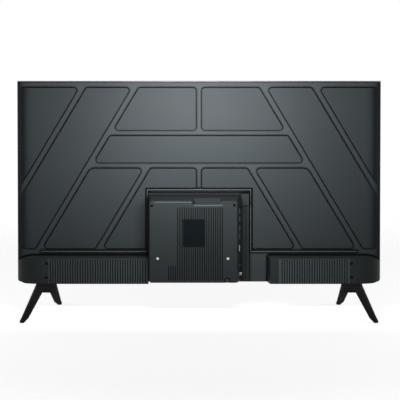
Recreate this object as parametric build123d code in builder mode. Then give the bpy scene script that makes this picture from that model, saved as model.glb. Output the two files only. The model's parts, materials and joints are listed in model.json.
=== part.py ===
"""A 43 inch class flat screen television on two splayed feet, built the way it comes apart.

Millimetres. +Z is up, the screen faces -Y and X runs along the width. The origin is on the floor,
under the middle of the whole set. Depths are counted from the raised face of the back sheet,
positive towards the rear.
"""
from build123d import *
import math
import os

os.makedirs("parts", exist_ok=True)

# Overall sizes
screen_width = 957.0
body_height = 543.5
foot_height = 78.5
foot_front_reach = 85.0
foot_rear_reach = 130.0
tower_depth = 62.0
housing_depth = 31.0
fit_gap = 0.3
cut_over = 20.0

# Layers of the screen, from the front to the rear
bezel_lip = 1.8
cell_thickness = 1.8
ledge_thickness = 1.2
film_thickness = 0.3
guide_thickness = 3.0
reflector_thickness = 0.4
light_space = 2.0
sheet_gauge = 1.0
emboss_height = 2.5

# Front bezel
bezel_top = 5.0
bezel_side = 8.0
bezel_bottom = 9.5
active_width = screen_width - 2 * bezel_side
active_height = body_height - bezel_top - bezel_bottom
bezel_wall = 1.5
bezel_depth = 8.0
bezel_corner_radius = 4.0
bezel_low_corner_radius = 8.0
cell_border = 2.5
film_border = 1.5
ledge_cover = 0.7

# Receiver for the remote control
lens_width = 18.0
lens_height = 2.6
lens_rise = 2.2
lens_low = foot_height + lens_rise
lens_gap = 0.1
sensor_board_width = 28.0
sensor_board_gauge = 1.2

# Levels, as depths behind the raised face of the back sheet
channel_d = -emboss_height
sheet_inner_d = channel_d - sheet_gauge
reflector_d = sheet_inner_d - light_space - reflector_thickness
guide_d = reflector_d - guide_thickness
diffuser_d = guide_d - film_thickness
prism_d = diffuser_d - film_thickness
ledge_d = prism_d - ledge_thickness
cell_d = ledge_d - cell_thickness
bezel_front_d = cell_d - bezel_lip
bezel_rear_d = bezel_front_d + bezel_depth

# Frame of the model
sheet_y = (foot_front_reach - foot_rear_reach) / 2
body_bottom = foot_height
body_top = foot_height + body_height
body_mid = (body_bottom + body_top) / 2
half_width = screen_width / 2
foot_inset = 75.5
foot_x = half_width - foot_inset
active_mid = body_top - bezel_top - active_height / 2

# Back sheet outline and its curved sides
sheet_half_width = half_width - bezel_wall - fit_gap
sheet_bottom = body_bottom + bezel_wall + fit_gap
sheet_top = body_top - bezel_wall - fit_gap
sheet_front_d = -7.5
side_curve_width = 30.0
side_curve_drop = 3.4
face_end_inset = 5.0
face_curve_width = 31.0
face_half_width = sheet_half_width - face_end_inset
flat_half = face_half_width - face_curve_width

# Embossed panels of the back sheet, measured on their top faces
emboss_slope = 0.3313 * screen_width / body_height
emboss_wall_angle = 30.0
emboss_corner = 7.0
emboss_big_corner = 20.0
hollow_corner_share = 1.8
channel_width = 17.0
diagonal_channel = 22.0
row_one_margin = 16.3
row_one_top = body_top - row_one_margin
row_one_share = 0.614
outer_diagonal = 0.3208 * screen_width
inner_diagonal = 0.1765 * screen_width
lower_diagonal = 0.1438 * screen_width
bead_width = 4.0
bead_height = 1.4
bead_rise = 81.5
bead_low = body_bottom + bead_rise
bead_end_inset = 60.5
bead_chamfer = 1.2
row_three_rise = 7.3
row_three_low = bead_low + bead_width + row_three_rise

# Electronics bay and cover
bay_half_width = 134.5
bay_top = 328.3
bay_margin = 58.9
row_three_top = bay_top + bay_margin
rows_one_and_two = row_one_top - row_three_top - 2 * channel_width
row_one_height = row_one_share * rows_one_and_two
cover_left = 133.6
cover_right = -112.8
cover_left_draft = 3.0
cover_right_draft = 11.3
cover_top = 314.0
cover_bottom_rise = 12.0
cover_wall = 2.5
cover_corner = 5.0
cover_edge = 2.0
flange_height = 6.5
flange_gauge = 2.0
bay_strip_width = 19.0
bay_block_height = 31.0
bay_block_depth = 8.0

# Vent ribs of the cover and the bare plate on it
vent_pitch = 5.9
vent_groove = 2.6
vent_groove_depth = 1.2
vent_count = 21
vent_centre = -2.6
vent_bottom = 99.0
vent_top = 297.0
vent_wide_top = 138.0
vent_extra_count = 4
plate_width = 57.5
plate_height = 74.0
plate_x = 13.0
plate_z = 227.5
plate_gauge = 1.0

# Mains inlet pocket in the top of the cover
pocket_left = 17.0
pocket_right = -62.0
pocket_floor = 285.0
pocket_d = 30.0
pocket_wall = 2.0
pocket_lip_top = 305.2
pocket_ramp = 10.0
inlet_width = 16.0
inlet_height = 12.0
inlet_length = 22.0
inlet_flange = 2.0
inlet_cavity_width = 13.6
inlet_cavity_height = 8.4
inlet_cavity_depth = 10.0
inlet_pin_radius = 1.2
inlet_pin_pitch = 8.6

# Power key in its half round recess
key_x = -74.8
key_recess_radius = 8.4
key_recess_depth = 8.0
key_recess_wall = 2.0
key_rise = 5.2
key_radius = 5.2
key_length = 5.5
key_edge = 0.5
key_stem_radius = 3.0
key_collar_radius = 4.6
key_collar_height = 1.3
key_stem_tail = 1.0
key_travel = 0.8
key_board_width = 30.0
key_board_height = 14.0
key_post_radius = 2.5
key_post_pitch = 22.0
switch_size = 6.0
switch_height = 3.5
plunger_radius = 1.7
plunger_height = 0.7

# Lower housings
housing_top = 151.0
housing_rear_rise = 2.5
housing_wall = 2.5
housing_end_gap = 1.0
housing_right_inner = 179.4
housing_right_draft = 9.0
housing_plan_curve = 80.0
housing_end_d = -5.0
housing_top_corner = 18.0
housing_top_corner_width = 44.0
housing_low_corner = 11.0
housing_low_corner_width = 32.0
housing_edge = 2.0
rib_pitch = 6.6
rib_groove = 2.9
rib_groove_depth = 1.2
rib_hole_gap = 5.5
rib_outer = foot_x - rib_hole_gap
rib_left_inner = 137.0
rib_right_inner = 213.0
rib_margin = 2.2

# Feet
foot_block_width = 52.0
foot_block_depth = 44.0
foot_block_d = 10.0
foot_crotch = 20.5
foot_leg_width = 25.0
foot_leg_length = 40.0
toe_width = 18.0
toe_tip_width = 13.0
toe_bevel = 8.0
toe_length = 21.0
toe_rear_spread = 63.0
toe_front_spread = 33.0
toe_rear_x = foot_x + toe_rear_spread
toe_front_x = foot_x - toe_front_spread
leg_corner = 3.0
pad_height = 2.0
pad_inset = 1.0
tang_width = 34.0
tang_height = 64.0
tang_gauge = 9.0
tang_d = 13.0
foot_screw_low = 99.7
foot_screw_high = 137.2

# Screws and their seats
screw_shank_radius = 1.5
screw_head_radius = 3.4
screw_head_height = 2.0
screw_running_gap = 0.05
screw_bore_radius = screw_shank_radius + screw_running_gap
foot_shank_radius = 2.0
foot_bore_radius = foot_shank_radius + screw_running_gap
foot_head_radius = 3.8
foot_head_height = 2.4
foot_shank_length = 20.0
tube_wall = 1.8
post_radius = 4.0
standoff_radius = 3.5
standoff_sides = 6
high_screw_depth = 10.0

# Circuit boards and what stands on them
board_gauge = 1.6
main_board_d = 20.0
power_board_d = 8.0
board_edge_inset = 5.0
board_screw_length = 5.0

# Sockets on the main board, mouths towards -X
socket_mouth = 0.3
socket_shell = 0.5
port_clearance = 0.5


def rear(depth):
    """Give the Y of a depth behind the raised face of the back sheet."""
    return sheet_y + depth


def at_depth(depth):
    """Give the upright plane at a depth: sketch x is X, sketch y is Z, its normal faces the viewer."""
    return Plane.XZ.offset(-rear(depth))


def block(xs, ds, zs, mode=Mode.ADD):
    """Add a box that spans two values of X, two depths and two heights."""
    with Locations(((xs[0] + xs[1]) / 2, rear((ds[0] + ds[1]) / 2), (zs[0] + zs[1]) / 2)):
        Box(abs(xs[1] - xs[0]), abs(ds[1] - ds[0]), abs(zs[1] - zs[0]), mode=mode)


def rod(x, z, radius, ds, mode=Mode.ADD):
    """Add a cylinder along Y at one X and Z, between two depths."""
    with BuildSketch(at_depth(max(ds))) as disc:
        with Locations((x, z)):
            Circle(radius)
    extrude(disc.sketch, amount=abs(ds[1] - ds[0]), mode=mode)


def finish(part, label):
    """Label a finished piece and write its file."""
    part.label = label
    export_step(part, f"parts/{label}.step")


def frame_sketch(width, height, low_radius, top_radius, mid):
    """Draw a screen-shaped outline: two radii at the bottom corners and two at the top."""
    with BuildSketch(Plane.XZ) as outline:
        with Locations((0, mid)):
            Rectangle(width, height)
        corners = outline.vertices().sort_by(Axis.Y)
        fillet(corners[:2], low_radius)
        fillet(corners[2:], top_radius)
    return outline.sketch


def slab(sketch, ds, mode=Mode.ADD):
    """Extrude a sketch drawn on the XZ plane so that it fills the space between two depths."""
    moved = sketch.moved(Location((0, rear(ds[1]), 0)))
    extrude(moved, amount=ds[1] - ds[0], dir=(0, -1, 0), mode=mode)


# Front bezel: a thin wall round the edge and a lip in front of the glass
with BuildPart() as front_bezel:
    slab(
        frame_sketch(screen_width, body_height, bezel_low_corner_radius, bezel_corner_radius, body_mid),
        (bezel_front_d, bezel_rear_d),
    )
    slab(
        frame_sketch(
            screen_width - 2 * bezel_wall,
            body_height - 2 * bezel_wall,
            bezel_low_corner_radius - bezel_wall,
            bezel_corner_radius - bezel_wall,
            body_mid,
        ),
        (cell_d, bezel_rear_d),
        Mode.SUBTRACT,
    )
    block(
        (-active_width / 2, active_width / 2),
        (bezel_front_d, cell_d),
        (active_mid - active_height / 2, active_mid + active_height / 2),
        Mode.SUBTRACT,
    )
    chamfer(front_bezel.faces().sort_by(Axis.Y)[0].outer_wire().edges(), bezel_lip / 3)
    block(
        (-lens_width / 2 - lens_gap, lens_width / 2 + lens_gap),
        (bezel_front_d - lens_gap, cell_d),
        (lens_low - lens_gap, lens_low + lens_height + lens_gap),
        Mode.SUBTRACT,
    )
finish(front_bezel.part, "front_bezel")

# Receiver for the remote control: a lens in the lower edge of the bezel and its small board
with BuildPart() as sensor_lens:
    block((-lens_width / 2, lens_width / 2), (bezel_front_d, cell_d), (lens_low, lens_low + lens_height))
finish(sensor_lens.part, "sensor_lens")

with BuildPart() as sensor_board:
    block(
        (-sensor_board_width / 2, sensor_board_width / 2),
        (cell_d, cell_d + sensor_board_gauge),
        (lens_low - lens_gap, lens_low + lens_height + lens_gap),
    )
finish(sensor_board.part, "sensor_board")


def layer(border, ds):
    """Add a flat layer of the screen that reaches a border past the picture all round."""
    block(
        (-active_width / 2 - border, active_width / 2 + border),
        ds,
        (active_mid - active_height / 2 - border, active_mid + active_height / 2 + border),
    )


# Screen layers, each a separate sheet, stacked face to face
with BuildPart() as display_panel:
    layer(cell_border, (cell_d, ledge_d))
finish(display_panel.part, "display_panel")

with BuildPart() as prism_film:
    layer(film_border, (prism_d, diffuser_d))
finish(prism_film.part, "prism_film")

with BuildPart() as diffuser_film:
    layer(film_border, (diffuser_d, guide_d))
finish(diffuser_film.part, "diffuser_film")

with BuildPart() as light_guide_plate:
    layer(film_border, (guide_d, reflector_d))
finish(light_guide_plate.part, "light_guide_plate")

with BuildPart() as reflector_sheet:
    layer(film_border, (reflector_d, reflector_d + reflector_thickness))
finish(reflector_sheet.part, "reflector_sheet")

# Middle frame: a plastic ring with a ledge between the glass and the films
with BuildPart() as middle_frame:
    slab(
        frame_sketch(
            screen_width - 2 * (bezel_wall + fit_gap),
            body_height - 2 * (bezel_wall + fit_gap),
            bezel_low_corner_radius - bezel_wall - fit_gap,
            bezel_corner_radius - bezel_wall - fit_gap,
            body_mid,
        ),
        (ledge_d, guide_d),
    )
    block(
        (-active_width / 2 - ledge_cover, active_width / 2 + ledge_cover),
        (ledge_d, prism_d),
        (active_mid - active_height / 2 - ledge_cover, active_mid + active_height / 2 + ledge_cover),
        Mode.SUBTRACT,
    )
    film_reach = film_border + fit_gap
    block(
        (-active_width / 2 - film_reach, active_width / 2 + film_reach),
        (prism_d, guide_d),
        (active_mid - active_height / 2 - film_reach, active_mid + active_height / 2 + film_reach),
        Mode.SUBTRACT,
    )
finish(middle_frame.part, "middle_frame")


# Light bar: an aluminium angle on the back sheet with a strip of lamps under the light guide
light_bar_gauge = 1.6
lamp_strip_gauge = 0.8
lamp_height = 0.7
lamp_width = 5.0
lamp_pitch = 29.0
light_bar_leg = 24.0
guide_bottom = active_mid - active_height / 2 - film_border
lamp_top = guide_bottom - fit_gap
strip_top = lamp_top - lamp_height
bar_top = strip_top - lamp_strip_gauge
light_bar_half = active_width / 2 - film_border
with BuildPart() as light_bar:
    block((-light_bar_half, light_bar_half), (guide_d, reflector_d), (bar_top - light_bar_gauge, bar_top))
    block((-flat_half, flat_half), (guide_d, sheet_inner_d), (bar_top - light_bar_gauge, bar_top))
    block(
        (-flat_half, flat_half),
        (sheet_inner_d - light_space + fit_gap, sheet_inner_d),
        (bar_top - light_bar_gauge, bar_top + light_bar_leg),
    )
finish(light_bar.part, "light_bar")

lamp_count = int(2 * light_bar_half / lamp_pitch)
with BuildPart() as lamp_strip:
    block((-light_bar_half, light_bar_half), (guide_d, reflector_d), (bar_top, strip_top))
    with Locations((0, rear((guide_d + reflector_d) / 2), strip_top + lamp_height / 2)):
        with GridLocations(lamp_pitch, lamp_pitch, lamp_count, 1):
            Box(lamp_width, guide_thickness / 2, lamp_height)
finish(lamp_strip.part, "lamp_strip")


def curved_outline(face_d, drop, curve_width, half, front_d):
    """Draw the plan of a sheet: flat behind, with sides that curve forwards to its edges."""
    with BuildSketch(Plane.XY) as outline:
        with BuildLine():
            inner = half - curve_width
            face_y = rear(face_d)
            edge_y = rear(face_d - drop)
            front_y = rear(front_d)
            EllipticalCenterArc((inner, edge_y), curve_width, drop, start_angle=0, arc_size=90)
            Line((inner, face_y), (-inner, face_y))
            EllipticalCenterArc((-inner, edge_y), curve_width, drop, start_angle=90, arc_size=90)
            Line((-half, edge_y), (-half, front_y))
            Line((-half, front_y), (half, front_y))
            Line((half, front_y), (half, edge_y))
        make_face()
    return outline.sketch


def rise(sketch, zs, mode=Mode.ADD):
    """Extrude a plan sketch so that it fills the space between two heights."""
    extrude(sketch.moved(Location((0, 0, zs[0]))), amount=zs[1] - zs[0], dir=(0, 0, 1), mode=mode)


def diagonal_x(line_x, z):
    """Give the X of a diagonal that stands at line_x on the top row and leans outwards going down."""
    return line_x + emboss_slope * (row_one_top - z)


def panel_points():
    """List the embossed panels: the corners of each one and the radius of each corner."""
    half_channel = diagonal_channel / 2
    row_one_low = row_one_top - row_one_height
    row_two_top = row_one_low - channel_width
    row_two_low = row_three_top + channel_width
    edge = half_width + cut_over
    edge_fall = (edge - outer_diagonal) / emboss_slope
    r = emboss_corner
    small = emboss_corner / 2
    bay_edge = bay_half_width + bead_width
    lower_top = lower_diagonal
    lower_low = lower_diagonal + emboss_slope * (row_three_top - row_three_low)
    corner_panel = [
        ((outer_diagonal + half_channel, row_one_top), r),
        ((edge, row_one_top), small),
        ((edge, row_one_top - edge_fall + half_channel / emboss_slope), small),
    ]
    strip_panel = [
        ((outer_diagonal - half_channel, row_one_top), r),
        ((inner_diagonal + half_channel, row_one_top), r),
        ((diagonal_x(inner_diagonal + half_channel, row_three_low), row_three_low), r),
        ((edge, row_three_low), small),
        ((edge, row_one_top - edge_fall - half_channel / emboss_slope), small),
    ]
    top_panel = [
        ((channel_width / 2, row_one_top), r),
        ((inner_diagonal - half_channel, row_one_top), r),
        ((diagonal_x(inner_diagonal - half_channel, row_one_low), row_one_low), r),
        ((channel_width / 2, row_one_low), r),
    ]
    middle_top = diagonal_x(inner_diagonal - half_channel, row_two_top)
    middle_low = diagonal_x(inner_diagonal - half_channel, row_two_low)
    middle_panel = [
        ((-middle_top, row_two_top), r),
        ((middle_top, row_two_top), r),
        ((middle_low, row_two_low), r),
        ((-middle_low, row_two_low), r),
    ]
    side_panel = [
        ((lower_top + half_channel, row_three_top), r),
        ((diagonal_x(inner_diagonal - half_channel, row_three_top), row_three_top), emboss_big_corner),
        ((diagonal_x(inner_diagonal - half_channel, row_three_low), row_three_low), r),
        ((lower_low + half_channel, row_three_low), r),
    ]
    bay_panel = [
        ((channel_width / 2, row_three_top), r),
        ((lower_top - half_channel, row_three_top), r),
        ((lower_low - half_channel, row_three_low), r),
        ((bay_edge + small, row_three_low), small),
        ((bay_edge + small, bay_top + bead_width + small), small),
        ((channel_width / 2, bay_top + bead_width + small), small),
    ]
    paired = [corner_panel, strip_panel, top_panel, side_panel, bay_panel]
    mirrored = [[((-point[0], point[1]), radius) for point, radius in panel] for panel in paired]
    return [middle_panel] + paired + mirrored


def grown_corners(corners, growth):
    """Move the sides of a panel outwards by a growth, or inwards if it is negative."""
    points = [Vector(point[0], point[1]) for point, radius in corners]
    turns = [points[i - 1].cross(points[i]).Z for i in range(len(points))]
    side = math.copysign(1, sum(turns))
    grown = []
    for i, point in enumerate(points):
        arriving = (point - points[i - 1]).normalized()
        leaving = (points[(i + 1) % len(points)] - point).normalized()
        out_one = Vector(arriving.Y, -arriving.X) * side
        out_two = Vector(leaving.Y, -leaving.X) * side
        moved = point + (out_one + out_two) * (growth / (1 + out_one.dot(out_two)))
        grown.append(((moved.X, moved.Y), corners[i][1] + growth))
    return grown


def panel_face(corners, depth, growth=0.0):
    """Draw one embossed panel at a depth, its corners rounded, larger by a growth."""
    with BuildSketch(at_depth(depth)) as face:
        with BuildLine():
            Polyline([point for point, radius in grown_corners(corners, growth)], close=True)
        make_face()
        for point, radius in grown_corners(corners, growth):
            fillet(face.vertices().sort_by_distance(point)[0], radius)
    return face.sketch


def hollow_face(corners, depth):
    """Draw the hollow behind an embossed panel: a gauge smaller all round, its corners cut off."""
    with BuildSketch(at_depth(depth)) as face:
        with BuildLine():
            Polyline([point for point, radius in grown_corners(corners, -sheet_gauge)], close=True)
        make_face()
        for point, radius in grown_corners(corners, -sheet_gauge):
            chamfer(face.vertices().sort_by_distance(point)[0], radius * hollow_corner_share)
    return face.sketch


# Embossed faces: sloped pads cut to the plan of the raised sheet, which fades out at the sides
wall_growth = -sheet_front_d * math.tan(math.radians(emboss_wall_angle))
with BuildPart() as raised_faces:
    for panel in panel_points():
        loft([panel_face(panel, sheet_front_d, wall_growth), panel_face(panel, 0)], ruled=True)
    raised_outline = curved_outline(
        0, side_curve_drop + emboss_height, face_curve_width, face_half_width, sheet_front_d
    )
    rise(raised_outline, (sheet_bottom, sheet_top), Mode.INTERSECT)

# Hollows behind the embossed faces, one sheet gauge under them
with BuildPart() as emboss_hollows:
    for panel in panel_points():
        extrude(hollow_face(panel, -sheet_gauge), amount=emboss_height)
    hollow_ds = (sheet_inner_d - sheet_gauge, 0)
    block((-flat_half, flat_half), hollow_ds, (sheet_bottom, sheet_top), Mode.INTERSECT)

# Bead pressed along the lower edge of the sheet and round the electronics bay
bead_reach = half_width - bead_end_inset
bead_top_d = channel_d + emboss_height + bead_height
bay_bead = bay_half_width + bead_width
with BuildPart() as bead:
    bead_ds = (sheet_inner_d, bead_top_d)
    for side in (-1, 1):
        block((side * bay_half_width, side * bead_reach), bead_ds, (bead_low, bead_low + bead_width))
        block((side * bay_half_width, side * bay_bead), bead_ds, (bead_low, bay_top + bead_width))
    block((-bay_bead, bay_bead), bead_ds, (bay_top, bay_top + bead_width))
    chamfer(bead.faces().sort_by(Axis.Y)[-1].edges(), bead_chamfer)


def pan_corners(half, low, high, radius_cut):
    """Draw the rear outline of the sheet, whose corners follow the inside of the bezel."""
    return frame_sketch(
        2 * half,
        high - low,
        bezel_low_corner_radius - bezel_wall - radius_cut,
        bezel_corner_radius - bezel_wall - radius_cut,
        (low + high) / 2,
    )


# Inside of the sheet, one gauge smaller all round
with BuildPart() as sheet_inside:
    inner_outline = curved_outline(
        sheet_inner_d, side_curve_drop, side_curve_width - sheet_gauge, sheet_half_width - sheet_gauge,
        sheet_front_d - cut_over,
    )
    rise(inner_outline, (sheet_bottom, sheet_top))
    inside_half = sheet_half_width - sheet_gauge
    inside_zs = (sheet_bottom + sheet_gauge, sheet_top - sheet_gauge)
    inside_corners = pan_corners(inside_half, *inside_zs, fit_gap + sheet_gauge)
    slab(inside_corners, (sheet_front_d - cut_over, 0), Mode.INTERSECT)

# Places of the screws and spacers, each an X and a Z
low_cover_screws = [(109.0, 158.2), (-76.3, 158.2)]
high_cover_screws = [(124.3, 301.6), (-93.5, 303.0)]
main_board_left = -5.0
main_board_right = -103.0
main_board_low = 96.0
main_board_high = 291.0
power_board_left = 124.0
power_board_right = 22.0
power_board_low = 112.0
power_board_high = 280.0
timing_board_left = 115.0
timing_board_right = 0.0
timing_board_low = 88.0
timing_board_high = 106.0
timing_board_d = 1.5


def corner_places(left, right, low, high, inset):
    """List the four screw places of a board, an inset in from its corners."""
    return [(x, z) for x in (left - inset, right + inset) for z in (low + inset, high - inset)]


board_gap = 3 * board_edge_inset
main_board_xs = (main_board_left, main_board_right)
main_board_zs = (main_board_low, main_board_high)
power_board_xs = (power_board_left, power_board_right)
power_board_zs = (power_board_low, power_board_high)
timing_board_xs = (timing_board_left, timing_board_right)
timing_board_zs = (timing_board_low, timing_board_high)
main_screw_area = (main_board_left, main_board_right + board_gap, main_board_low + board_gap, main_board_high)
main_board_screws = corner_places(*main_screw_area, board_edge_inset)
power_board_screws = corner_places(*power_board_xs, *power_board_zs, board_edge_inset)
timing_board_screws = corner_places(*timing_board_xs, *timing_board_zs, board_edge_inset)
board_levels = [
    (main_board_d, main_board_screws),
    (power_board_d, power_board_screws),
    (timing_board_d, timing_board_screws),
]

# Back sheet: a shallow steel pan with embossed panels and a bead round the electronics bay
with BuildPart() as back_sheet:
    sheet_outline = curved_outline(
        channel_d, side_curve_drop, side_curve_width, sheet_half_width, sheet_front_d
    )
    rise(sheet_outline, (sheet_bottom, sheet_top))
    add(raised_faces.part)
    add(bead.part)
    pan_outline = pan_corners(sheet_half_width, sheet_bottom, sheet_top, fit_gap)
    slab(pan_outline, (sheet_front_d, bead_top_d), Mode.INTERSECT)
    add(sheet_inside.part, mode=Mode.SUBTRACT)
    add(emboss_hollows.part, mode=Mode.SUBTRACT)
finish(back_sheet.part, "back_sheet")

# Hexagonal standoffs of the boards, each bored for its screw
with BuildPart() as board_standoffs:
    for level, places in board_levels:
        for x, z in places:
            with BuildSketch(at_depth(level)) as hexagon:
                with Locations((x, z)):
                    RegularPolygon(standoff_radius, standoff_sides)
            extrude(hexagon.sketch, amount=level - channel_d)
            rod(x, z, screw_bore_radius, (max(level - board_screw_length, channel_d), level), Mode.SUBTRACT)
finish(board_standoffs.part, "board_standoffs")

# Spacers that stand on the sheet and take the screws of the electronics cover
post_d = 44.0
post_bore_length = 8.0
with BuildPart() as cover_posts:
    for x, z in low_cover_screws + high_cover_screws:
        rod(x, z, post_radius, (channel_d, post_d))
        rod(x, z, screw_bore_radius, (post_d - post_bore_length, post_d), Mode.SUBTRACT)
finish(cover_posts.part, "cover_posts")


def cover_form(inset, front_d, rear_d):
    """Loft the drafted form of the electronics cover, smaller by a wall all round."""
    base_left, base_right = cover_left - inset, cover_right + inset
    rear_left, rear_right = base_left - cover_left_draft, base_right + cover_right_draft
    base_low, rear_low = sheet_bottom + inset, sheet_bottom + inset + cover_bottom_rise
    high = cover_top - inset
    front_end = (front_d, base_left, base_right, base_low)
    rear_end = (rear_d, rear_left, rear_right, rear_low)
    sections = []
    for depth, left, right, low in (front_end, rear_end):
        with BuildSketch(at_depth(depth)) as section:
            with Locations(((left + right) / 2, (low + high) / 2)):
                Rectangle(left - right, high - low)
        sections.append(section.sketch)
    loft(sections, ruled=True)


with BuildPart() as cover_void:
    cover_form(cover_wall, channel_d - cover_wall, tower_depth - cover_wall)

low_screw_seat_d = tower_depth - screw_head_height
high_screw_seat_d = tower_depth - high_screw_depth
cover_seats = [(place, low_screw_seat_d) for place in low_cover_screws]
cover_seats += [(place, high_screw_seat_d) for place in high_cover_screws]
key_z = sheet_bottom + cover_bottom_rise + key_rise
key_floor_d = tower_depth - key_recess_depth
key_inner_d = key_floor_d - key_recess_wall
key_rest_d = key_inner_d - fit_gap - key_collar_height - key_stem_tail
key_board_d = key_rest_d - key_travel - fit_gap - plunger_height - switch_height - board_gauge
key_bore_ds = (key_board_d, key_board_d + board_gauge + board_screw_length)
key_post_z = key_z + key_post_radius
key_screw_places = [(key_x - key_post_pitch / 2, key_post_z), (key_x + key_post_pitch / 2, key_post_z)]
sheet_clear_d = channel_d + fit_gap
port_wall_x = cover_right + cover_right_draft * main_board_d / tower_depth
usb_heights = [280.0, 257.6]
hdmi_heights = [233.4, 211.4]
lan_z = 179.9
optical_z = 157.9
av_z = 131.2
antenna_z = 109.2
usb_size = (14.5, 7.0)
hdmi_size = (16.2, 6.6)
lan_size = (16.0, 13.5)
optical_size = (10.0, 10.0)
av_size = (8.0, 8.0)
antenna_size = (11.0, 11.0)
sockets = [(z, usb_size) for z in usb_heights] + [(z, hdmi_size) for z in hdmi_heights]
sockets += [(lan_z, lan_size), (optical_z, optical_size), (av_z, av_size), (antenna_z, antenna_size)]
socket_d = main_board_d + board_gauge
inlet_z = pocket_floor + pocket_wall + inlet_height
inlet_d = (pocket_d + tower_depth - cover_wall) / 2
strip_edge = cover_right - bay_strip_width
strip_step = 1.0

# Wall of the recess of the power key, cut to the outer form of the cover
with BuildPart() as key_well:
    cover_form(0, sheet_clear_d, tower_depth)
    well_ds = (key_inner_d, tower_depth - cover_edge)
    rod(key_x, key_z, key_recess_radius + key_recess_wall, well_ds, Mode.INTERSECT)

# Electronics cover: drafted box with a pocket for the mains lead, vent ribs, a port wall and a flange
with BuildPart() as electronics_cover:
    cover_form(0, sheet_clear_d, tower_depth)
    slanted = electronics_cover.edges().filter_by(lambda e: abs((e @ 1 - e @ 0).Y) > tower_depth / 2)
    fillet(slanted, cover_corner)
    chamfer(electronics_cover.faces().sort_by(Axis.Y)[-1].edges(), cover_edge)
    add(cover_void.part, mode=Mode.SUBTRACT)
    flange_ds = (sheet_clear_d, sheet_clear_d + flange_gauge)
    flange_top = cover_top + flange_height
    block_low = flange_top - bay_block_height
    block((cover_right, cover_left), flange_ds, (cover_top - cover_wall, flange_top))
    block((strip_edge, cover_right + cover_wall), flange_ds, (sheet_bottom, flange_top))
    block((strip_edge, cover_right + cover_wall), (sheet_clear_d, bay_block_depth), (block_low, flange_top))
    block(
        (strip_edge + bay_strip_width / 3, strip_edge + bay_strip_width / 2),
        (sheet_clear_d + strip_step, bay_block_depth),
        (sheet_bottom - cut_over, block_low),
        Mode.SUBTRACT,
    )
    block(
        (pocket_right - pocket_wall, pocket_left + pocket_wall),
        (pocket_d - pocket_wall, tower_depth - cover_edge),
        (pocket_floor, cover_top - cover_wall / 2),
    )
    block(
        (pocket_right, pocket_left),
        (pocket_d, tower_depth - cover_wall),
        (pocket_floor + pocket_wall, cover_top + cut_over),
        Mode.SUBTRACT,
    )
    with BuildSketch(at_depth(tower_depth + cover_wall)):
        with BuildLine():
            Polyline(
                (pocket_left, pocket_lip_top),
                (pocket_right + pocket_ramp, pocket_lip_top),
                (pocket_right, cover_top + cover_edge),
                (pocket_left, cover_top + cover_edge),
                close=True,
            )
        make_face()
    extrude(amount=3 * cover_wall, mode=Mode.SUBTRACT)
    block(
        (pocket_left - pocket_wall, pocket_left + 2 * pocket_wall),
        (inlet_d - inlet_width / 2 - fit_gap, inlet_d + inlet_width / 2 + fit_gap),
        (inlet_z - inlet_height / 2 - fit_gap, inlet_z + inlet_height / 2 + fit_gap),
        Mode.SUBTRACT,
    )
    for place, seat_d in cover_seats:
        tube_radius = screw_head_radius + fit_gap + tube_wall
        rod(*place, tube_radius, (post_d + fit_gap, tower_depth - cover_edge))
        rod(*place, screw_head_radius + fit_gap, (seat_d, tower_depth + cover_wall), Mode.SUBTRACT)
        rod(*place, screw_bore_radius, (post_d, seat_d), Mode.SUBTRACT)
    for z, size in sockets:
        reach = cover_right_draft + cover_wall
        block(
            (port_wall_x - reach, port_wall_x + reach),
            (socket_d, socket_d + size[1] + port_clearance),
            (z - size[0] / 2 - port_clearance, z + size[0] / 2 + port_clearance),
            Mode.SUBTRACT,
        )
    add(key_well.part)
    for place in key_screw_places:
        rod(*place, key_post_radius, (key_board_d + board_gauge, tower_depth - cover_wall / 2))
        rod(*place, screw_bore_radius, key_bore_ds, Mode.SUBTRACT)
    rod(key_x, key_z, key_recess_radius, (key_floor_d, tower_depth + cover_wall), Mode.SUBTRACT)
    rod(key_x, key_z, key_stem_radius + fit_gap, (key_inner_d - cover_wall, tower_depth), Mode.SUBTRACT)
    rod(key_x, key_z, key_collar_radius + fit_gap, (key_rest_d - key_travel, key_inner_d), Mode.SUBTRACT)
    with BuildSketch(at_depth(tower_depth)):
        with Locations((vent_centre, (vent_bottom + vent_top) / 2)):
            with GridLocations(vent_pitch, vent_pitch, vent_count, 1):
                Rectangle(vent_groove, vent_top - vent_bottom)
        with Locations((plate_x, plate_z)):
            Rectangle(plate_width, plate_height, mode=Mode.SUBTRACT)
        extra_left = vent_centre + vent_pitch * (vent_count + vent_extra_count) / 2
        with Locations((extra_left, (vent_bottom + vent_wide_top) / 2)):
            with GridLocations(vent_pitch, vent_pitch, vent_extra_count, 1):
                Rectangle(vent_groove, vent_wide_top - vent_bottom)
    extrude(amount=vent_groove_depth, mode=Mode.SUBTRACT)
finish(electronics_cover.part, "electronics_cover")


def housing_profile(inner_x, draft, inset, front_d):
    """Draw the plan of one lower housing on the +X side, smaller by an inset."""
    rear_y = rear(housing_depth - inset)
    outer = half_width - bezel_wall - inset
    curve_x = half_width - bezel_wall - housing_plan_curve
    curve_depth = housing_depth - inset - housing_end_d
    inner = inner_x + inset
    with BuildSketch(Plane.XY) as plan:
        with BuildLine():
            EllipticalCenterArc(
                (curve_x, rear(housing_end_d)), outer - curve_x, curve_depth, start_angle=0, arc_size=90
            )
            Line((curve_x, rear_y), (inner + draft, rear_y))
            Line((inner + draft, rear_y), (inner, rear(front_d)))
            Line((inner, rear(front_d)), (outer, rear(front_d)))
            Line((outer, rear(front_d)), (outer, rear(housing_end_d)))
        make_face()
    return plan.sketch


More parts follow.
